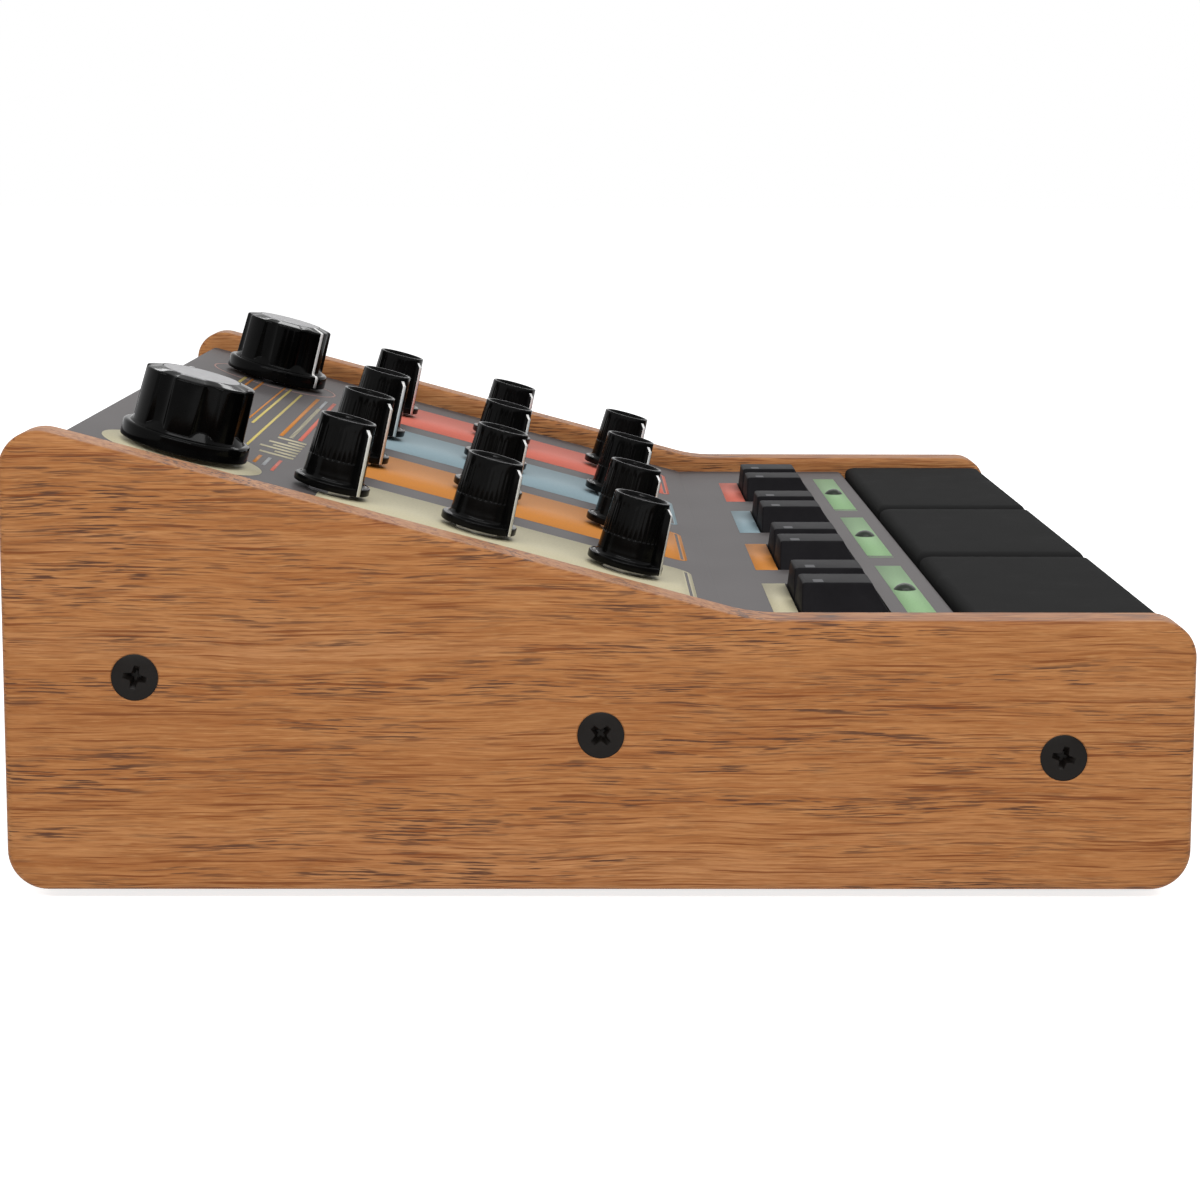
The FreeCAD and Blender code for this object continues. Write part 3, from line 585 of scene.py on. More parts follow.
WOOD = wood()
COVER = textured_paint()
INK = {
    "cream": printed_ink("ink_cream", srgb(202, 194, 164)),
    "orange": printed_ink("ink_orange", srgb(204, 134, 66)),
    "blue": printed_ink("ink_blue", srgb(144, 165, 173)),
    "coral": printed_ink("ink_coral", srgb(214, 118, 102)),
    "green": printed_ink("ink_green", srgb(150, 184, 140)),
    "yellow": printed_ink("ink_yellow", srgb(214, 196, 120)),
    "grey": printed_ink("ink_grey", srgb(168, 170, 172)),
    "rose": printed_ink("ink_rose", srgb(176, 140, 132)),
}
KNOB = moulded("knob_plastic", srgb(7, 7, 7), 0.13, 0.065, depth=0.004)
GLOSS = moulded("large_knob_plastic", srgb(3, 3, 3), 0.1, 0.055, depth=0.003)
KEY = moulded("key_plastic", srgb(26, 25, 27), 0.45, 0.015)
KEY_WINDOW = moulded("key_window", srgb(54, 54, 58), 0.4, 0.05)
PAD = moulded("pad_rubber", srgb(27, 27, 27), 0.8, 0.03, grain_mm=0.5, depth=0.05)
POINTER = moulded("pointer_white", srgb(232, 232, 230), 0.4)
INSERT_METAL = metal("insert_metal", srgb(124, 123, 125), 0.36)
SCREW = moulded("screw_black", srgb(21, 18, 16), 0.38, 0.1, grain_mm=0.2, depth=0.01)
TRAY = moulded("tray_paint", srgb(38, 38, 39), 0.55, 0.4, depth=0.03)
FOOT = moulded("foot_rubber", srgb(28, 28, 28), 0.8, 0.3, depth=0.04)
BOARD = circuit_board()
STEEL = metal("pot_metal", srgb(176, 176, 178), 0.3)
BRASS = metal("spacer_brass", srgb(196, 164, 92), 0.3)
NUT = metal("nut_metal", srgb(190, 190, 192), 0.18)
JACK = moulded("jack_plastic", srgb(24, 24, 24), 0.45)
LAMP = moulded("lamp_lens", srgb(40, 46, 39), 0.3, 0.15, depth=0.002)


# Cheeks and their screws

def cheek_outline():
    """The board's side outline, anticlockwise seen from +X, with its corners and its bend as arcs."""
    low, high = box_mm("left_cheek")
    front, rear, foot = low[1], high[1], low[2]
    front_top, rear_top = foot + CHEEK_FRONT_HEIGHT, foot + CHEEK_REAR_HEIGHT
    bend = rear - (rear_top - front_top) / math.tan(slope)
    corners = [
        (front, foot, CHEEK_CORNER),
        (rear, foot, CHEEK_CORNER),
        (rear, rear_top, CHEEK_REAR_CORNER),
        (bend, front_top, CHEEK_BEND),
        (front, front_top, CHEEK_FRONT_CORNER),
    ]
    return rounded_path(corners, closed=True, steps=14)


def screw_places():
    """(Y, Z) of the three screws of a cheek, read from the screws' own solids, the rearmost first."""
    mesh = frame["nodes"]["cheek_screws"].data
    points = np.empty(len(mesh.vertices) * 3)
    mesh.vertices.foreach_get("co", points)
    points = points.reshape(-1, 3) / MM
    points = points[points[:, 0] < case_low[0] + 0.5]
    points = points[np.argsort(-points[:, 1])]
    gaps = np.where(-np.diff(points[:, 1]) > SCREW_HEAD)[0] + 1
    return [(group[:, 1:].min(0) + group[:, 1:].max(0)) / 2.0 for group in np.split(points, gaps)]


def circle(centre, radius, steps=40):
    """Points of a circle in the YZ plane, anticlockwise seen from +X."""
    angle = np.linspace(0.0, 2.0 * np.pi, steps, endpoint=False)
    return np.column_stack([centre[0] + radius * np.cos(angle), centre[1] + radius * np.sin(angle)])


def rounded_slab(outline, thickness, edge):
    """Rings of a flat board with rounded long edges, as (depth, a, b) points.

    The outline moves inwards along its normals by edge * (1 - sin t) at depth edge * (1 - cos t) over
    each rounded edge.
    """
    turn = np.linspace(0.0, np.pi / 2.0, 7)
    inset = edge * (1.0 - np.sin(turn))
    depth = edge * (1.0 - np.cos(turn))
    insets = np.concatenate([inset, inset[::-1]])
    depths = np.concatenate([depth, thickness - depth[::-1]])
    rings = outline[None] - path_normals(outline, closed=True)[None] * insets[:, None, None]
    return np.concatenate([np.repeat(depths[:, None], len(outline), 1)[..., None], rings], -1)


def holed_face(points, outer, holes, towards):
    """Triangles that fill a flat outline around holes; lists of point numbers, facing along -X or +X."""
    loops = [outer] + holes
    order = [i for loop in loops for i in loop]
    flat = [[Vector((points[i][1], points[i][2], 0.0)) for i in loop] for loop in loops]
    faces = []
    for a, b, c in tessellate_polygon(flat):
        one, two, three = (points[order[i]] for i in (a, b, c))
        facing = np.cross(two - one, three - one)[0] * towards > 0
        faces.append([order[a], order[b], order[c]] if facing else [order[a], order[c], order[b]])
    return faces


def cheek(name, side):
    """A board with rounded long edges and countersunk holes."""
    low, high = box_mm(name)
    thickness = high[0] - low[0]
    rim = rounded_slab(cheek_outline(), thickness, CHEEK_EDGE)
    rows, size = rim.shape[:2]
    points = [rim.reshape(-1, 3)]
    faces = strip_faces(rows, size)
    count = rows * size
    mouths, ends = [], []
    for place in screw_places():
        mouth = circle(place, SCREW_HEAD + SCREW_FIT)
        bore = circle(place, SCREW_SHANK + SCREW_FIT)
        steps = len(mouth)
        points += [np.column_stack([np.full(steps, depth), ring]) for depth, ring in
                   ((0.0, mouth), (SCREW_SINK, bore), (thickness, bore))]
        faces += [face[::-1] for face in strip_faces(3, steps, start=count)]
        mouths.append(list(range(count, count + steps)))
        ends.append(list(range(count + 2 * steps, count + 3 * steps)))
        count += 3 * steps
    points = np.concatenate(points)
    last = (rows - 1) * size
    faces += holed_face(points, list(range(size)), mouths, -1)
    faces += holed_face(points, list(range(last, last + size)), ends, 1)
    points[:, 0] = low[0] + points[:, 0] if side < 0 else high[0] - points[:, 0]
    if side > 0:
        faces = [list(face)[::-1] for face in faces]
    piece = link_piece(name + "_board", make_mesh(name, points, faces), WOOD, CASE, 40.0)
    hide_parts(name)


def cross_outline(reach, width):
    """A cross recess, anticlockwise: four tapering arms with blunt ends and bevelled inner corners."""
    tip, near, far = 0.4 * width, 0.55 * width, 0.72 * width
    arm = [(reach, -tip), (reach, tip), (far, near), (near, far)]
    points = []
    for quarter in range(4):
        c, s = ((1, 0), (0, 1), (-1, 0), (0, -1))[quarter]
        points += [(c * a - s * b, s * a + c * b) for a, b in arm]
    return np.array(points)


def cheek_screw(name, place, side, turn):
    """A countersunk screw: face with a chamfered rim and a cross recess, cone and plain shank."""
    angle = math.radians(turn)
    spin = np.array([[math.cos(angle), math.sin(angle)], [-math.sin(angle), math.cos(angle)]])
    recess_rings = ((SCREW_FACE, 1.0), (0.25, 0.93), (RECESS_DEPTH, 0.4))
    body_rings = ((SCREW_FACE, SCREW_HEAD - SCREW_RIM), (0.3, SCREW_HEAD), (0.5, SCREW_HEAD),
                  (SCREW_SINK, SCREW_SHANK), (SCREW_LENGTH, SCREW_SHANK))
    cross = []
    for depth, share in recess_rings:
        ring = cross_outline(RECESS_REACH * share, RECESS_WIDTH * share) @ spin + place
        cross.append(np.column_stack([np.full(len(ring), depth), ring]))
    body = [np.column_stack([np.full(SCREW_STEPS, depth), circle(place, radius, SCREW_STEPS)])
            for depth, radius in body_rings]
    points = np.concatenate(cross + body)
    arms = len(cross[0])
    deepest = (len(cross) - 1) * arms
    first = deepest + arms
    last = first + (len(body) - 1) * SCREW_STEPS
    faces = [face[::-1] for face in strip_faces(len(cross), arms)]
    faces.append(list(range(deepest, first))[::-1])
    faces += strip_faces(len(body), SCREW_STEPS, start=first)
    faces.append(list(range(last, last + SCREW_STEPS)))
    faces += holed_face(points, list(range(first, first + SCREW_STEPS)), [list(range(arms))], -1)
    points[:, 0] = case_low[0] + points[:, 0] if side < 0 else case_high[0] - points[:, 0]
    if side > 0:
        faces = [list(face)[::-1] for face in faces]
    return link_piece(name, make_mesh(name, points, faces), SCREW, CASE, 30.0)


def cheek_screws():
    """Three screws in each cheek, which stand for the CAD screws."""
    for side, word in ((-1, "left"), (1, "right")):
        for number, (place, turn) in enumerate(zip(screw_places(), SCREW_TURNS), 1):
            piece = cheek_screw("%s_cheek_screw_%d" % (word, number), place, side, turn)
    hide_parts("cheek_screws")


cheek("left_cheek", -1)
cheek("right_cheek", 1)
cheek_screws()


# Printed bands and lines on the cover

def print_shapes(name, shapes, ink):
    """Flat printed shapes on the cover, each a list of (x, up) outlines: its rim, then its holes."""
    points, faces = [], []
    for loops in shapes:
        start = len(points)
        flat = [[Vector((x, up, 0.0)) for x, up in loop] for loop in loops]
        for loop in loops:
            xs, ups = np.array(loop)[:, 0], np.array(loop)[:, 1]
            points.extend(on_cover(xs, ups, PRINT_LIFT))
        order = np.concatenate([np.asarray(loop) for loop in loops])
        for a, b, c in tessellate_polygon(flat):
            one, two, three = order[a], order[b], order[c]
            anticlockwise = (two - one)[0] * (three - one)[1] - (two - one)[1] * (three - one)[0] > 0
            face = [a, b, c] if anticlockwise else [a, c, b]
            faces.append([start + i for i in face])
    piece = link_piece(name, make_mesh(name, points, faces), ink, CASE)
    thicken(piece, PRINT_THICKNESS)


def rounded_band(x0, x1, up0, up1, corner):
    """A rectangle with rounded corners as one loop."""
    corners = [(x0, up0, corner), (x1, up0, corner), (x1, up1, corner), (x0, up1, corner)]
    return rounded_path(corners, closed=True, steps=6)


def bar(x0, x1, up0, up1):
    """A plain rectangle as one loop."""
    return np.array([(x0, up0), (x1, up0), (x1, up1), (x0, up1)])


def disc(x, up, radius):
    """A circle on the slope as one loop."""
    angle = np.linspace(0.0, 2.0 * np.pi, 72, endpoint=False)
    return np.column_stack([x + radius * np.cos(angle), up + radius * np.sin(angle)])


def line(x0, x1, up, width):
    """A thin line across the case at a height up the slope."""
    return [bar(x0, x1, up - width / 2.0, up + width / 2.0)]


def bar_row(first, pitch, width, foot, heights):
    """Bars side by side on one foot line, one for each height."""
    starts = [first + pitch * k for k in range(len(heights))]
    return [[bar(x, x + width, foot, foot + height)] for x, height in zip(starts, heights)]


ring_up = up_of(large_place)
band_colours = ("cream", "orange", "blue", "coral")
key_low, key_high = box_mm("key_1")
label_rear = up_of_y(key_high[1] + LABEL_REAR)
label_front = up_of_y(key_high[1] + LABEL_FRONT)
lamp_low, lamp_high = box_mm("lamps")
lamp_up = up_of_y((lamp_low[1] + lamp_high[1]) / 2.0)
lamp_x = [lamp_low[0] + LAMP_FLANGE, 0.0, lamp_high[0] - LAMP_FLANGE]
half_band = BAND_WIDTH / 2.0

shapes = {colour: [] for colour in INK}
for i, colour in enumerate(band_colours):
    x = column_x[i]
    outer = rounded_band(x - half_band, x + half_band, BAND_FOOT, BAND_HEAD, BAND_CORNER)
    slit_half = half_band - SLIT_INSET
    slit = bar(x - slit_half, x + slit_half, BAND_FOOT + SLIT_FOOT, BAND_FOOT + SLIT_HEAD)
    shapes[colour].append([outer, slit])
    pair_low, pair_high = box_mm("key_%d" % (2 * i + 1))[0][0], box_mm("key_%d" % (2 * i + 2))[1][0]
    middle = (pair_low + pair_high) / 2.0
    shapes[colour].append([bar(middle - LABEL_HALF, middle + LABEL_HALF, label_front, label_rear)])
strip_front, strip_rear = lamp_up - STRIP_HALF_DEPTH, lamp_up + STRIP_HALF_DEPTH
for x in lamp_x:
    shapes["green"].append([bar(x - STRIP_HALF_WIDTH, x + STRIP_HALF_WIDTH, strip_front, strip_rear)])
    shapes["green"].append([bar(x - TICK_OUTSIDE, x - TICK_INSIDE, strip_front, strip_rear)])
left_x, right_x = large_place[0], -large_place[0]
shapes["cream"].append([disc(left_x, ring_up, RING_OUTSIDE)])
shapes["rose"].append([disc(right_x, ring_up, radius) for radius in (RING_OUTSIDE, RING_OUTSIDE - RING_LINE)])

# Colour, two ends across the case, height up the slope and width of each stripe
stripes = [
    ("orange", -22.0, 72.0, 105.3, 1.0), ("coral", -22.0, 72.0, 100.6, 1.0),
    ("orange", -76.0, -63.0, 105.4, 0.8), ("grey", -77.0, -63.0, 103.2, 0.8),
    ("coral", -82.0, -63.0, 100.7, 0.8), ("yellow", -58.0, 72.0, 110.0, 0.7),
    ("yellow", -12.0, 78.0, 113.6, 0.7), ("orange", -5.0, 78.0, 115.3, 0.5),
    ("grey", 52.0, 72.0, 102.9, 0.8), ("orange", 20.0, 78.0, 121.5, 0.7),
    ("orange", 20.0, 79.0, 124.5, 0.7), ("yellow", 20.0, 80.0, 126.6, 0.9),
]
for colour, x0, x1, up, width in stripes:
    shapes[colour].append(line(x0, x1, up, width))
shapes["cream"] += bar_row(-57.0, 5.0, 2.6, 98.6, (8.0, 5.0, 9.0, 6.5, 8.0, 4.0, 7.0))
shapes["cream"] += bar_row(-21.0, 2.6, 1.4, 102.4, [1.0] * 28)
for colour, loops in shapes.items():
    print_shapes("print_" + colour, loops, INK[colour])


# Knobs

def knob_inside():
    """Section of a knob's inside from the end of its bore down to its open foot."""
    bore = [(0.0, BORE_END), (BORE, BORE_END), (BORE, CAVITY_TOP)]
    return np.array(bore + [(CAVITY, CAVITY_TOP), (CAVITY, KNOB_GAP)])


def small_profile():
    """Section of the small knob from the end of its bore, round the outside, to the middle of its dish.

    Above its waist the side is a cone. Below it the radius grows by the square of the way down to the
    flange. The heights lie closest together where the ribs begin and end.
    """
    heights = np.concatenate([np.linspace(KNOB_FLANGE_TOP + 1.2 * KNOB_FILLET, KNOB_WAIST, 4),
                              KNOB_RIB_START + np.linspace(-0.1, 0.5, 7),
                              np.linspace(9.5, 13.5, 4),
                              KNOB_RIB_END - np.linspace(KNOB_RIB_FALL, -0.1, 7)])
    down = np.clip((KNOB_WAIST - heights) / (KNOB_WAIST - KNOB_FLANGE_TOP), 0.0, 1.0)
    radii = KNOB_TOP + (KNOB_HEIGHT - heights) * KNOB_TAPER + KNOB_FLARE * down ** 2
    side = [(radius, height, 0) for radius, height in zip(radii, heights)]
    foot = radii[0] + KNOB_FLARE * 0.3
    hollow = KNOB_DISH_DEPTH - KNOB_DISH_WALL
    dish = [((KNOB_DISH - 0.2) * share, KNOB_HEIGHT - KNOB_DISH_DEPTH + hollow * share ** 2, 0)
            for share in (1.0, 0.8, 0.6, 0.4, 0.2, 0.0)]
    outside = rounded_path([
        (CAVITY + 0.1, KNOB_GAP, 0),
        (KNOB_FLANGE, KNOB_GAP, KNOB_ROUNDING),
        (KNOB_FLANGE, KNOB_FLANGE_TOP, KNOB_ROUNDING),
        (foot, KNOB_FLANGE_TOP, KNOB_FILLET),
    ] + side + [
        (KNOB_TOP, KNOB_HEIGHT, KNOB_RIM_OUTSIDE),
        (KNOB_DISH, KNOB_HEIGHT, KNOB_RIM_INSIDE),
    ] + dish)
    return np.vstack([knob_inside(), outside])


def smooth(value):
    """Eased step from 0 to 1 as the value goes from 0 to 1."""
    value = np.clip(value, 0.0, 1.0)
    return value * value * (3.0 - 2.0 * value)


def small_ribs(radius, height, angle):
    """Grooves cut by a raised cosine between two heights, shallower above their foot."""
    fade = 1.0 - KNOB_RIB_FADE * smooth((height - KNOB_RIB_START - 0.3) / 1.2)
    depth = KNOB_RIB_DEPTH * fade * (0.5 - 0.5 * np.cos(KNOB_RIBS * angle)) ** 1.5
    ends = smooth((height - KNOB_RIB_START) / KNOB_RIB_RISE) * smooth((KNOB_RIB_END - height) / KNOB_RIB_FALL)
    return np.where(radius > CAVITY + 0.1, radius - depth * ends, radius)


def large_profile():
    """Section of the large knob, with the seat of its insert."""
    heights = np.concatenate([SKIRT_TOP + np.linspace(0.3, CONE_HEIGHT + 0.3, 15),
                              np.linspace(SKIRT_TOP + CONE_HEIGHT + 1.5, LARGE_SHOULDER - 1.0, 6)])
    taper = (LARGE_BODY_TOP - LARGE_BODY) * (heights - SKIRT_TOP) / (LARGE_SHOULDER - SKIRT_TOP)
    radii = LARGE_BODY + taper
    side = [(radius, height, 0) for radius, height in zip(radii, heights)]
    rise = (LARGE_TOP - LARGE_SHOULDER) / (LARGE_BODY_TOP - INSERT)
    top = [(INSERT + out, LARGE_TOP - out * rise, 0) for out in (2.4, 1.2)]
    outside = rounded_path([
        (CAVITY + 0.1, KNOB_GAP, 0),
        (SKIRT, KNOB_GAP, KNOB_ROUNDING),
        (SKIRT, SKIRT_TOP, SKIRT_ROUNDING),
        (LARGE_BODY, SKIRT_TOP, 0.25),
    ] + side + [(LARGE_BODY_TOP, LARGE_SHOULDER, LARGE_EDGE)] + top + [
        (INSERT + INSERT_FIT, LARGE_TOP, 0.15),
        (INSERT + INSERT_FIT / 2.0, INSERT_SEAT, 0),
        (0.0, INSERT_SEAT, 0),
    ])
    return np.vstack([knob_inside(), outside])


def large_flutes(radius, height, angle):
    """Seven broad flutes, each the near side of a circle of FLUTE_RADIUS outside the body, blended softly.

    The flute's own radius is D cos t - sqrt(R^2 - D^2 sin^2 t), where t is the angle from its middle.
    At its foot nothing is cut below a cone that rises inwards from the skirt. The top face and its
    rounded edge shrink towards the insert in the same share as the body below them.
    """
    reach = LARGE_BODY + FLUTE_RADIUS - FLUTE_DEPTH
    step = 2.0 * np.pi / FLUTES
    t = (angle + np.pi / 2.0) % step - step / 2.0
    inside = FLUTE_RADIUS ** 2 - (reach * np.sin(t)) ** 2
    uncut = 99.0
    cut = np.where(inside > 0, reach * np.cos(t) - np.sqrt(np.maximum(inside, 0.0)), uncut)
    top = height > LARGE_SHOULDER - 0.6
    body = np.where(top, LARGE_BODY_TOP, radius)
    blend = np.clip(0.5 + 0.5 * (cut - body) / FLUTE_SOFTNESS, 0.0, 1.0)
    fluted = np.minimum(cut * (1 - blend) + body * blend - FLUTE_SOFTNESS * blend * (1 - blend), body)
    hub = INSERT + INSERT_FIT
    shrunk = hub + (radius - hub) * (fluted - hub) / (LARGE_BODY_TOP - hub)
    cone = CONE_FOOT - CONE_LEAN * (height - SKIRT_TOP)
    side = (height > SKIRT_TOP - 0.05) & (radius > INSERT + 0.5) & (radius < LARGE_BODY + 0.3)
    return np.where(top & (radius > hub), shrunk, np.where(side & ~top, np.maximum(fluted, cone), radius))


def turned_knob(name, profile, columns, ripple, joint, pointer, material):
    """A knob turned from a profile, standing on its joint.

    The profile starts and ends on the axis, where one point and a fan of triangles take a ring's place.
    """
    rings = on_joint(turned_points(profile, columns, ripple), joint, pointer)
    rows = rings.shape[0]
    faces = strip_faces(rows - 2, columns, start=columns)
    points = rings.reshape(-1, 3)
    faces += [[0, columns + k, columns + (k + 1) % columns] for k in range(columns)]
    last = (rows - 1) * columns
    faces += [[last, last - columns + k, last - columns + (k + 1) % columns] for k in range(columns)]
    keep = np.ones(len(points), bool)
    keep[1:columns] = False
    keep[last + 1:] = False
    index = np.cumsum(keep) - 1
    faces = [[index[i] for i in face] for face in faces]
    piece = link_piece(name, make_mesh(name, points[keep], faces), material, joint[:-len("_turn")], 38.0)
    return piece


def pointer_line(name, path, width, joint, pointer):
    """A thin raised line along the -Y side of a turned knob, on a path of (radius, height) points."""
    raised = path + path_normals(path) * MARK_LIFT
    across = np.linspace(-width / 2.0, width / 2.0, 4)
    rows, columns = len(path), len(across)
    x = np.repeat(across[None], rows, 0)
    y = -np.sqrt(np.maximum(raised[:, :1] ** 2 - across[None] ** 2, 0.0))
    points = on_joint(np.stack([x, y, np.repeat(raised[:, 1:], columns, 1)], -1), joint, pointer)
    mesh = make_mesh(name, points.reshape(-1, 3), strip_faces(rows, columns, closed=False))
    piece = link_piece(name, mesh, POINTER, joint[:-len("_turn")])
    thicken(piece, 2.0 * MARK_LIFT)


def resting_pointer(joint):
    """Pointer angle at rest, clockwise from the user: the stop's angle and what the joint can turn back."""
    return POINTER_AT_STOP + joints[joint]["range_deg"][1]


def pointer_blade(name, joint, pointer):
    """The upright blade of a small knob's pointer, with a chamfered head and softly rounded edges."""
    head = BLADE_HEAD_HEIGHT + BLADE_CHAMFER
    outline = rounded_path([
        (-CAVITY, head, 0),
        (-CAVITY, KNOB_GAP, 0),
        (-BLADE_FOOT_REACH, KNOB_GAP, BLADE_ROUNDING),
        (-BLADE_HEAD_REACH, BLADE_HEAD_HEIGHT, KNOB_ROUNDING),
        (BLADE_CHAMFER - BLADE_HEAD_REACH, head, BLADE_ROUNDING),
    ], closed=True)[::-1]
    rings = rounded_slab(outline, BLADE_WIDTH, BLADE_ROUNDING) - (BLADE_WIDTH / 2.0, 0.0, 0.0)
    piece = ring_surface(name, on_joint(rings, joint, pointer), KNOB, joint[:-len("_turn")])


def small_knobs():
    """Twelve ribbed knobs, each with a pointer blade and the white line on its crest."""
    profile = small_profile()
    crest = rounded_path([
        (BLADE_FOOT_REACH, KNOB_GAP + 0.1, 0),
        (BLADE_HEAD_REACH, BLADE_HEAD_HEIGHT, KNOB_ROUNDING),
        (BLADE_HEAD_REACH - BLADE_CHAMFER, BLADE_HEAD_HEIGHT + BLADE_CHAMFER, 0),
    ])
    for row in ("front", "middle", "rear"):
        for column in range(1, 5):
            node = "%s_knob_%d" % (row, column)
            joint = node + "_turn"
            pointer = resting_pointer(joint)
            piece = turned_knob(node + "_cap", profile, KNOB_RIBS * 8, small_ribs, joint, pointer, KNOB)
            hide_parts(node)
            pointer_blade(node + "_blade", joint, pointer)
            pointer_line(node + "_crest", crest, CREST_WIDTH, joint, pointer)


def large_knobs():
    """Two fluted knobs on skirts, each with a white line from skirt to insert and a metal insert."""
    profile = large_profile()
    mark = rounded_path([
        (SKIRT, KNOB_GAP + 0.4, 0),
        (SKIRT, SKIRT_TOP, SKIRT_ROUNDING),
        (CONE_FOOT, SKIRT_TOP, 0.1),
        (LARGE_BODY, SKIRT_TOP + (CONE_FOOT - LARGE_BODY) / CONE_LEAN, 0.1),
        (LARGE_BODY_TOP, LARGE_SHOULDER, LARGE_EDGE),
        (INSERT + 0.3, LARGE_TOP, 0),
    ])
    disc_profile = rounded_path([
        (0.0, INSERT_SEAT, 0), (INSERT, INSERT_SEAT, 0), (INSERT, LARGE_TOP, 0.25), (0.0, LARGE_TOP, 0),
    ])
    for side in ("left", "right"):
        node = side + "_large_knob"
        joint = node + "_turn"
        pointer = resting_pointer(joint)
        piece = turned_knob(node + "_cap", profile, FLUTES * 40, large_flutes, joint, pointer, GLOSS)
        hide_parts(node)
        pointer_line(node + "_line", mark, MARK_WIDTH, joint, pointer)
        insert = turned_knob(side + "_insert_disc", disc_profile, 96, None, joint, 0.0, INSERT_METAL)
        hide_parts(side + "_knob_insert")


small_knobs()
large_knobs()


# Keys and pads

def key_cap(number):
    """Tapered key: upright skirt, raked front, leaning sides, small rounded top edge and a light window."""
    node = "key_%d" % number
    low, high = box_mm(node)
    x, y = (low[0] + high[0]) / 2.0, (low[1] + high[1]) / 2.0
    width, depth = high[0] - low[0], high[1] - low[1]
    top_depth = depth - KEY_FRONT_RAKE - KEY_REAR_RAKE
    top_y = y + (KEY_FRONT_RAKE - KEY_REAR_RAKE) / 2.0

    def level(share, inset, z):
        """The key's outline at a share of the way from skirt to top, drawn in by an inset."""
        w = width + (KEY_TOP_WIDTH - width) * share - 2.0 * inset
        d = depth + (top_depth - depth) * share - 2.0 * inset
        return rounded_rectangle(x, y + (top_y - y) * share, w, d, KEY_CORNER, z)

    rings = [rounded_rectangle(x, y, width, depth, KEY_FOOT_CORNER, flat_z + z) for z in (-KEY_SKIRT, 0.0)]
    side_top = KEY_RISE - KEY_EDGE
    side_share = side_top / KEY_RISE
    for share in np.linspace(0.0, 1.0, 4)[1:] * side_share:
        rings.append(level(share, 0.0, flat_z + KEY_RISE * share))
    for angle in np.linspace(0.0, np.pi / 2.0, 5)[1:]:
        inset = KEY_EDGE * (1.0 - math.cos(angle)) * KEY_EDGE_SPREAD
        rings.append(level(side_share, inset, flat_z + side_top + KEY_EDGE * math.sin(angle)))
    piece = ring_surface(node + "_cap", np.array(rings), KEY, node, 30.0)
    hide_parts(node)
    window_x, window_y = x - WINDOW_FROM_MIDDLE, top_y + top_depth / 2.0 - WINDOW_FROM_REAR
    pane = [rounded_rectangle(window_x, window_y, WINDOW_WIDTH, WINDOW_DEPTH, WINDOW_CORNER,
                              flat_z + KEY_RISE + z, 3) for z in (-0.3, 0.04)]
    window = ring_surface(node + "_window", np.array(pane), KEY_WINDOW, node)


def pad(number):
    """Rubber pad: its top falls off in a tight curve to front and rear and in a wide one to its sides."""
    node = "pad_%d" % number
    low, high = box_mm(node)
    x, y = (low[0] + high[0]) / 2.0, (low[1] + high[1]) / 2.0
    width, depth = high[0] - low[0], high[1] - low[1]
    top = high[2]
    shoulder = top - PAD_CROWN - PAD_EDGE
    rings = [rounded_rectangle(x, y, width, depth, PAD_CORNER, z, 8) for z in (low[2], shoulder)]
    for angle in np.linspace(0.0, np.pi / 2.0, 11)[1:]:
        share = 1.0 - math.cos(angle)
        z = shoulder + PAD_EDGE * math.sin(angle)
        corner = PAD_CORNER - 0.5 * share
        narrower, shorter = 2 * PAD_SIDE_EDGE * share, (PAD_EDGE + PAD_FRONT_EDGE) * share
        back = (PAD_EDGE - PAD_FRONT_EDGE) * share / 2.0
        rings.append(rounded_rectangle(x, y - back, width - narrower, depth - shorter, corner, z, 8))
    for share in (0.15, 0.4, 0.7):
        across = PAD_SIDE_EDGE + share * ((width - PAD_MIDDLE_WIDTH) / 2.0 - PAD_SIDE_EDGE)
        along = PAD_EDGE + share * ((depth - PAD_MIDDLE_DEPTH) / 2.0 - PAD_EDGE)
        z = top - PAD_CROWN * (1.0 - share) ** 2
        rings.append(rounded_rectangle(x, y, width - 2 * across, depth - 2 * along, PAD_MIDDLE_CORNER, z, 8))
    piece = ring_surface(node + "_skin", np.array(rings), PAD, node, 50.0)
    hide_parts(node)


for number in range(1, 9):
    key_cap(number)
for number in range(1, 4):
    pad(number)


# CAD nodes that keep their own shape

def dress(node, material):
    """Give a CAD node its material."""
    piece = frame["nodes"][node]
    piece.data.materials.clear()
    piece.data.materials.append(material)


for node, material in {
    "top_cover": COVER, "base_tray": TRAY, "base_screws": SCREW, "rubber_feet": FOOT,
    "main_board": BOARD, "key_board": BOARD, "board_spacers": BRASS, "potentiometers": STEEL,
    "pot_nuts": NUT, "key_switches": JACK, "lamps": LAMP, "pad_sensors": JACK,
    "input_jack": JACK, "output_jack": JACK, "jack_nuts": NUT, "power_inlet": JACK,
}.items():
    dress(node, material)
for node in frame["nodes"]:
    if "_shaft" in node:
        dress(node, STEEL)


# Floor, light and camera

def plain_rays(tree):
    """An output that is 1 for what the camera sees, straight, mirrored or through glass, and else 0."""
    rays = tree.nodes.new("ShaderNodeLightPath")
    total = rays.outputs["Is Camera Ray"]
    for kind in ("Is Glossy Ray", "Is Transmission Ray"):
        node = tree.nodes.new("ShaderNodeMath")
        node.operation = "ADD"
        tree.links.new(total, node.inputs[0])
        tree.links.new(rays.outputs[kind], node.inputs[1])
        total = node.outputs[0]
    return total


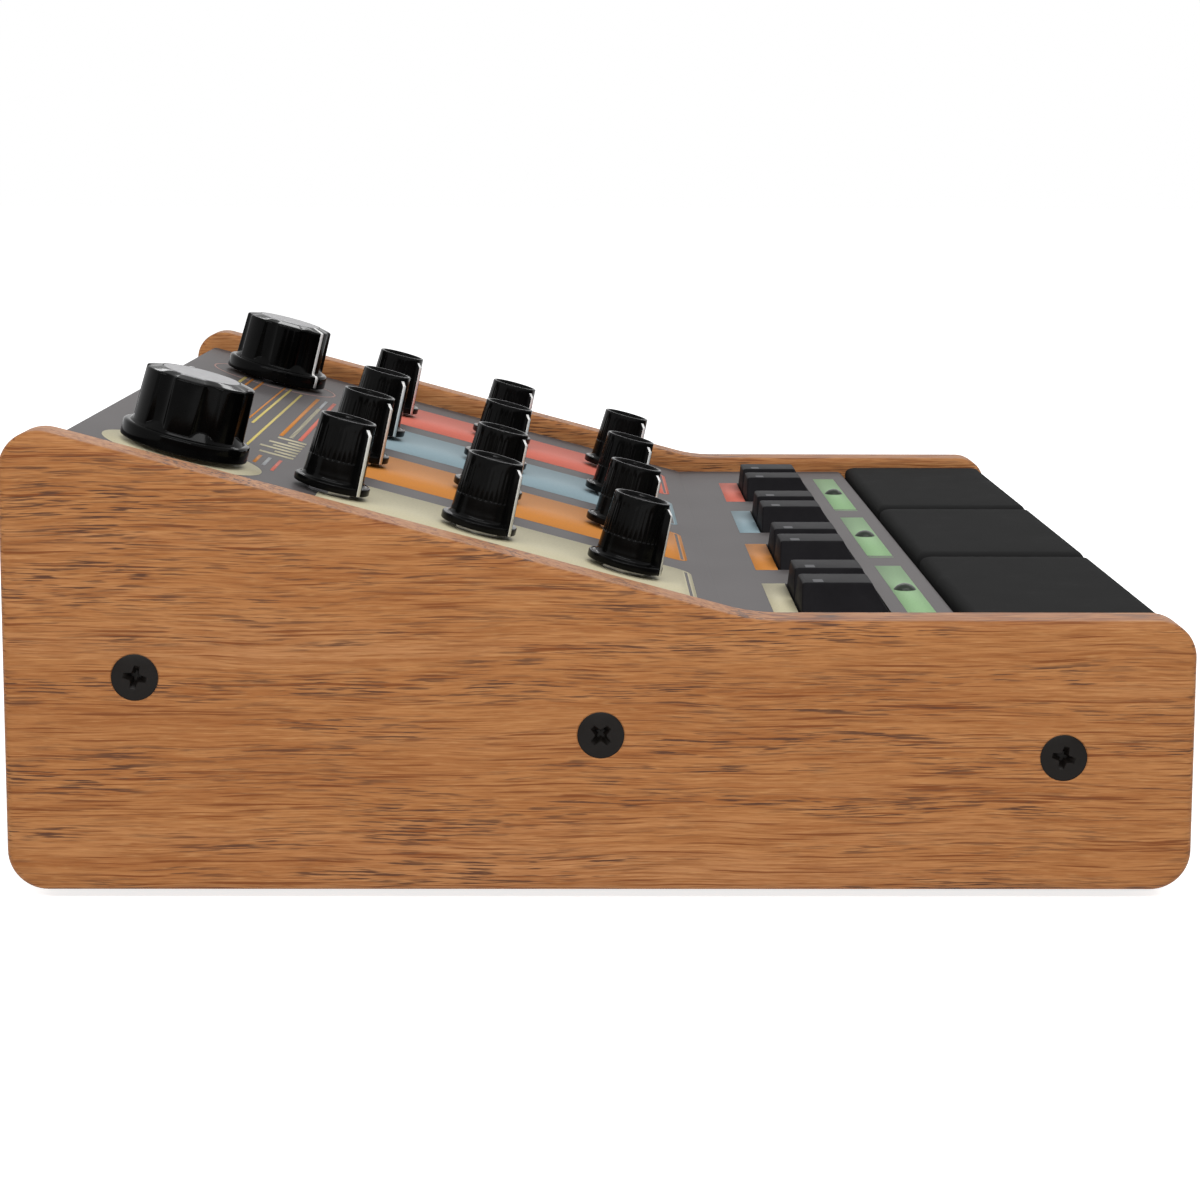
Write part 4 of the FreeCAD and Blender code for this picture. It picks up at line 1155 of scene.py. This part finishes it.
def floor():
    """A wide pale floor that stays white to the camera and keeps a soft shadow."""
    half = 6000.0
    paleness, glow_strength = 0.8, 0.8
    points = [(-half, -half, 0.0), (half, -half, 0.0), (half, half, 0.0), (-half, half, 0.0)]
    mesh = make_mesh("floor", points, [[0, 1, 2, 3]])
    material = bpy.data.materials.new("floor_white")
    material.use_nodes = True
    tree = material.node_tree
    tree.nodes.clear()
    out = tree.nodes.new("ShaderNodeOutputMaterial")
    pale = tree.nodes.new("ShaderNodeBsdfDiffuse")
    pale.inputs["Color"].default_value = grey(paleness)
    glow = tree.nodes.new("ShaderNodeEmission")
    glow.inputs["Color"].default_value = grey(1.0)
    strength = tree.nodes.new("ShaderNodeMath")
    strength.operation = "MULTIPLY"
    strength.inputs[1].default_value = glow_strength
    tree.links.new(plain_rays(tree), strength.inputs[0])
    tree.links.new(strength.outputs[0], glow.inputs["Strength"])
    both = tree.nodes.new("ShaderNodeAddShader")
    tree.links.new(pale.outputs[0], both.inputs[0])
    tree.links.new(glow.outputs[0], both.inputs[1])
    tree.links.new(both.outputs[0], out.inputs["Surface"])
    mesh.materials.append(material)
    piece = bpy.data.objects.new("floor", mesh)
    bpy.context.scene.collection.objects.link(piece)


def world():
    """Even pale surroundings, white to the camera and dimmer as a light."""
    light_strength, seen_strength = 0.3, 1.0
    surroundings = bpy.data.worlds.new("studio")
    bpy.context.scene.world = surroundings
    surroundings.use_nodes = True
    tree = surroundings.node_tree
    background = tree.nodes["Background"]
    background.inputs["Color"].default_value = grey(1.0)
    mix = tree.nodes.new("ShaderNodeMapRange")
    mix.inputs["To Min"].default_value = light_strength
    mix.inputs["To Max"].default_value = seen_strength
    tree.links.new(plain_rays(tree), mix.inputs["Value"])
    tree.links.new(mix.outputs["Result"], background.inputs["Strength"])


def lamp(name, place, target, size, power):
    """A soft rectangular lamp aimed at a point; place, target and size in metres, power in watts."""
    light = bpy.data.lights.new(name, "AREA")
    light.shape = "RECTANGLE"
    light.size, light.size_y = size
    light.energy = power
    piece = bpy.data.objects.new(name, light)
    piece.location = place
    piece.rotation_euler = (Vector(target) - Vector(place)).to_track_quat("-Z", "Y").to_euler()
    bpy.context.scene.collection.objects.link(piece)


def camera():
    """The photograph's camera: place in millimetres, angles in degrees off the straight look along +X."""
    place = np.array([-663.6, 5.22, 148.83])
    pitch, yaw, roll = math.radians(7.482), math.radians(0.545), math.radians(0.165)
    focal_pixels = 2681.9
    image_pixels = 1200.0
    centre_above = 100.2
    level = np.array([math.cos(yaw), -math.sin(yaw), 0.0])
    right = np.array([-math.sin(yaw), -math.cos(yaw), 0.0])
    ahead = level * math.cos(pitch) - np.array([0.0, 0.0, math.sin(pitch)])
    up = np.cross(right, ahead)
    rolled_right = right * math.cos(roll) + up * math.sin(roll)
    rolled_up = up * math.cos(roll) - right * math.sin(roll)
    data = bpy.data.cameras.new("camera")
    data.sensor_width = 36.0
    data.sensor_fit = "HORIZONTAL"
    data.lens = focal_pixels / image_pixels * data.sensor_width
    data.shift_y = -centre_above / image_pixels
    piece = bpy.data.objects.new("camera", data)
    turn = Matrix((rolled_right, rolled_up, -ahead)).transposed()
    piece.matrix_world = Matrix.Translation(Vector(place * MM)) @ turn.to_4x4()
    bpy.context.scene.collection.objects.link(piece)
    bpy.context.scene.camera = piece


bpy.context.scene.view_settings.view_transform = "Standard"
floor()
world()
lamp("side_strip", (-1.3, 0.15, 0.75), (0.0, 0.0, 0.05), (1.4, 0.1), 11.5)
lamp("top_strip", (-0.42, -0.35, 1.4), (0.0, -0.3, 0.05), (1.4, 0.22), 8.5)
lamp("far_strip", (1.05, -0.35, 0.75), (0.0, 0.0, 0.05), (1.4, 0.12), 3.0)
camera()
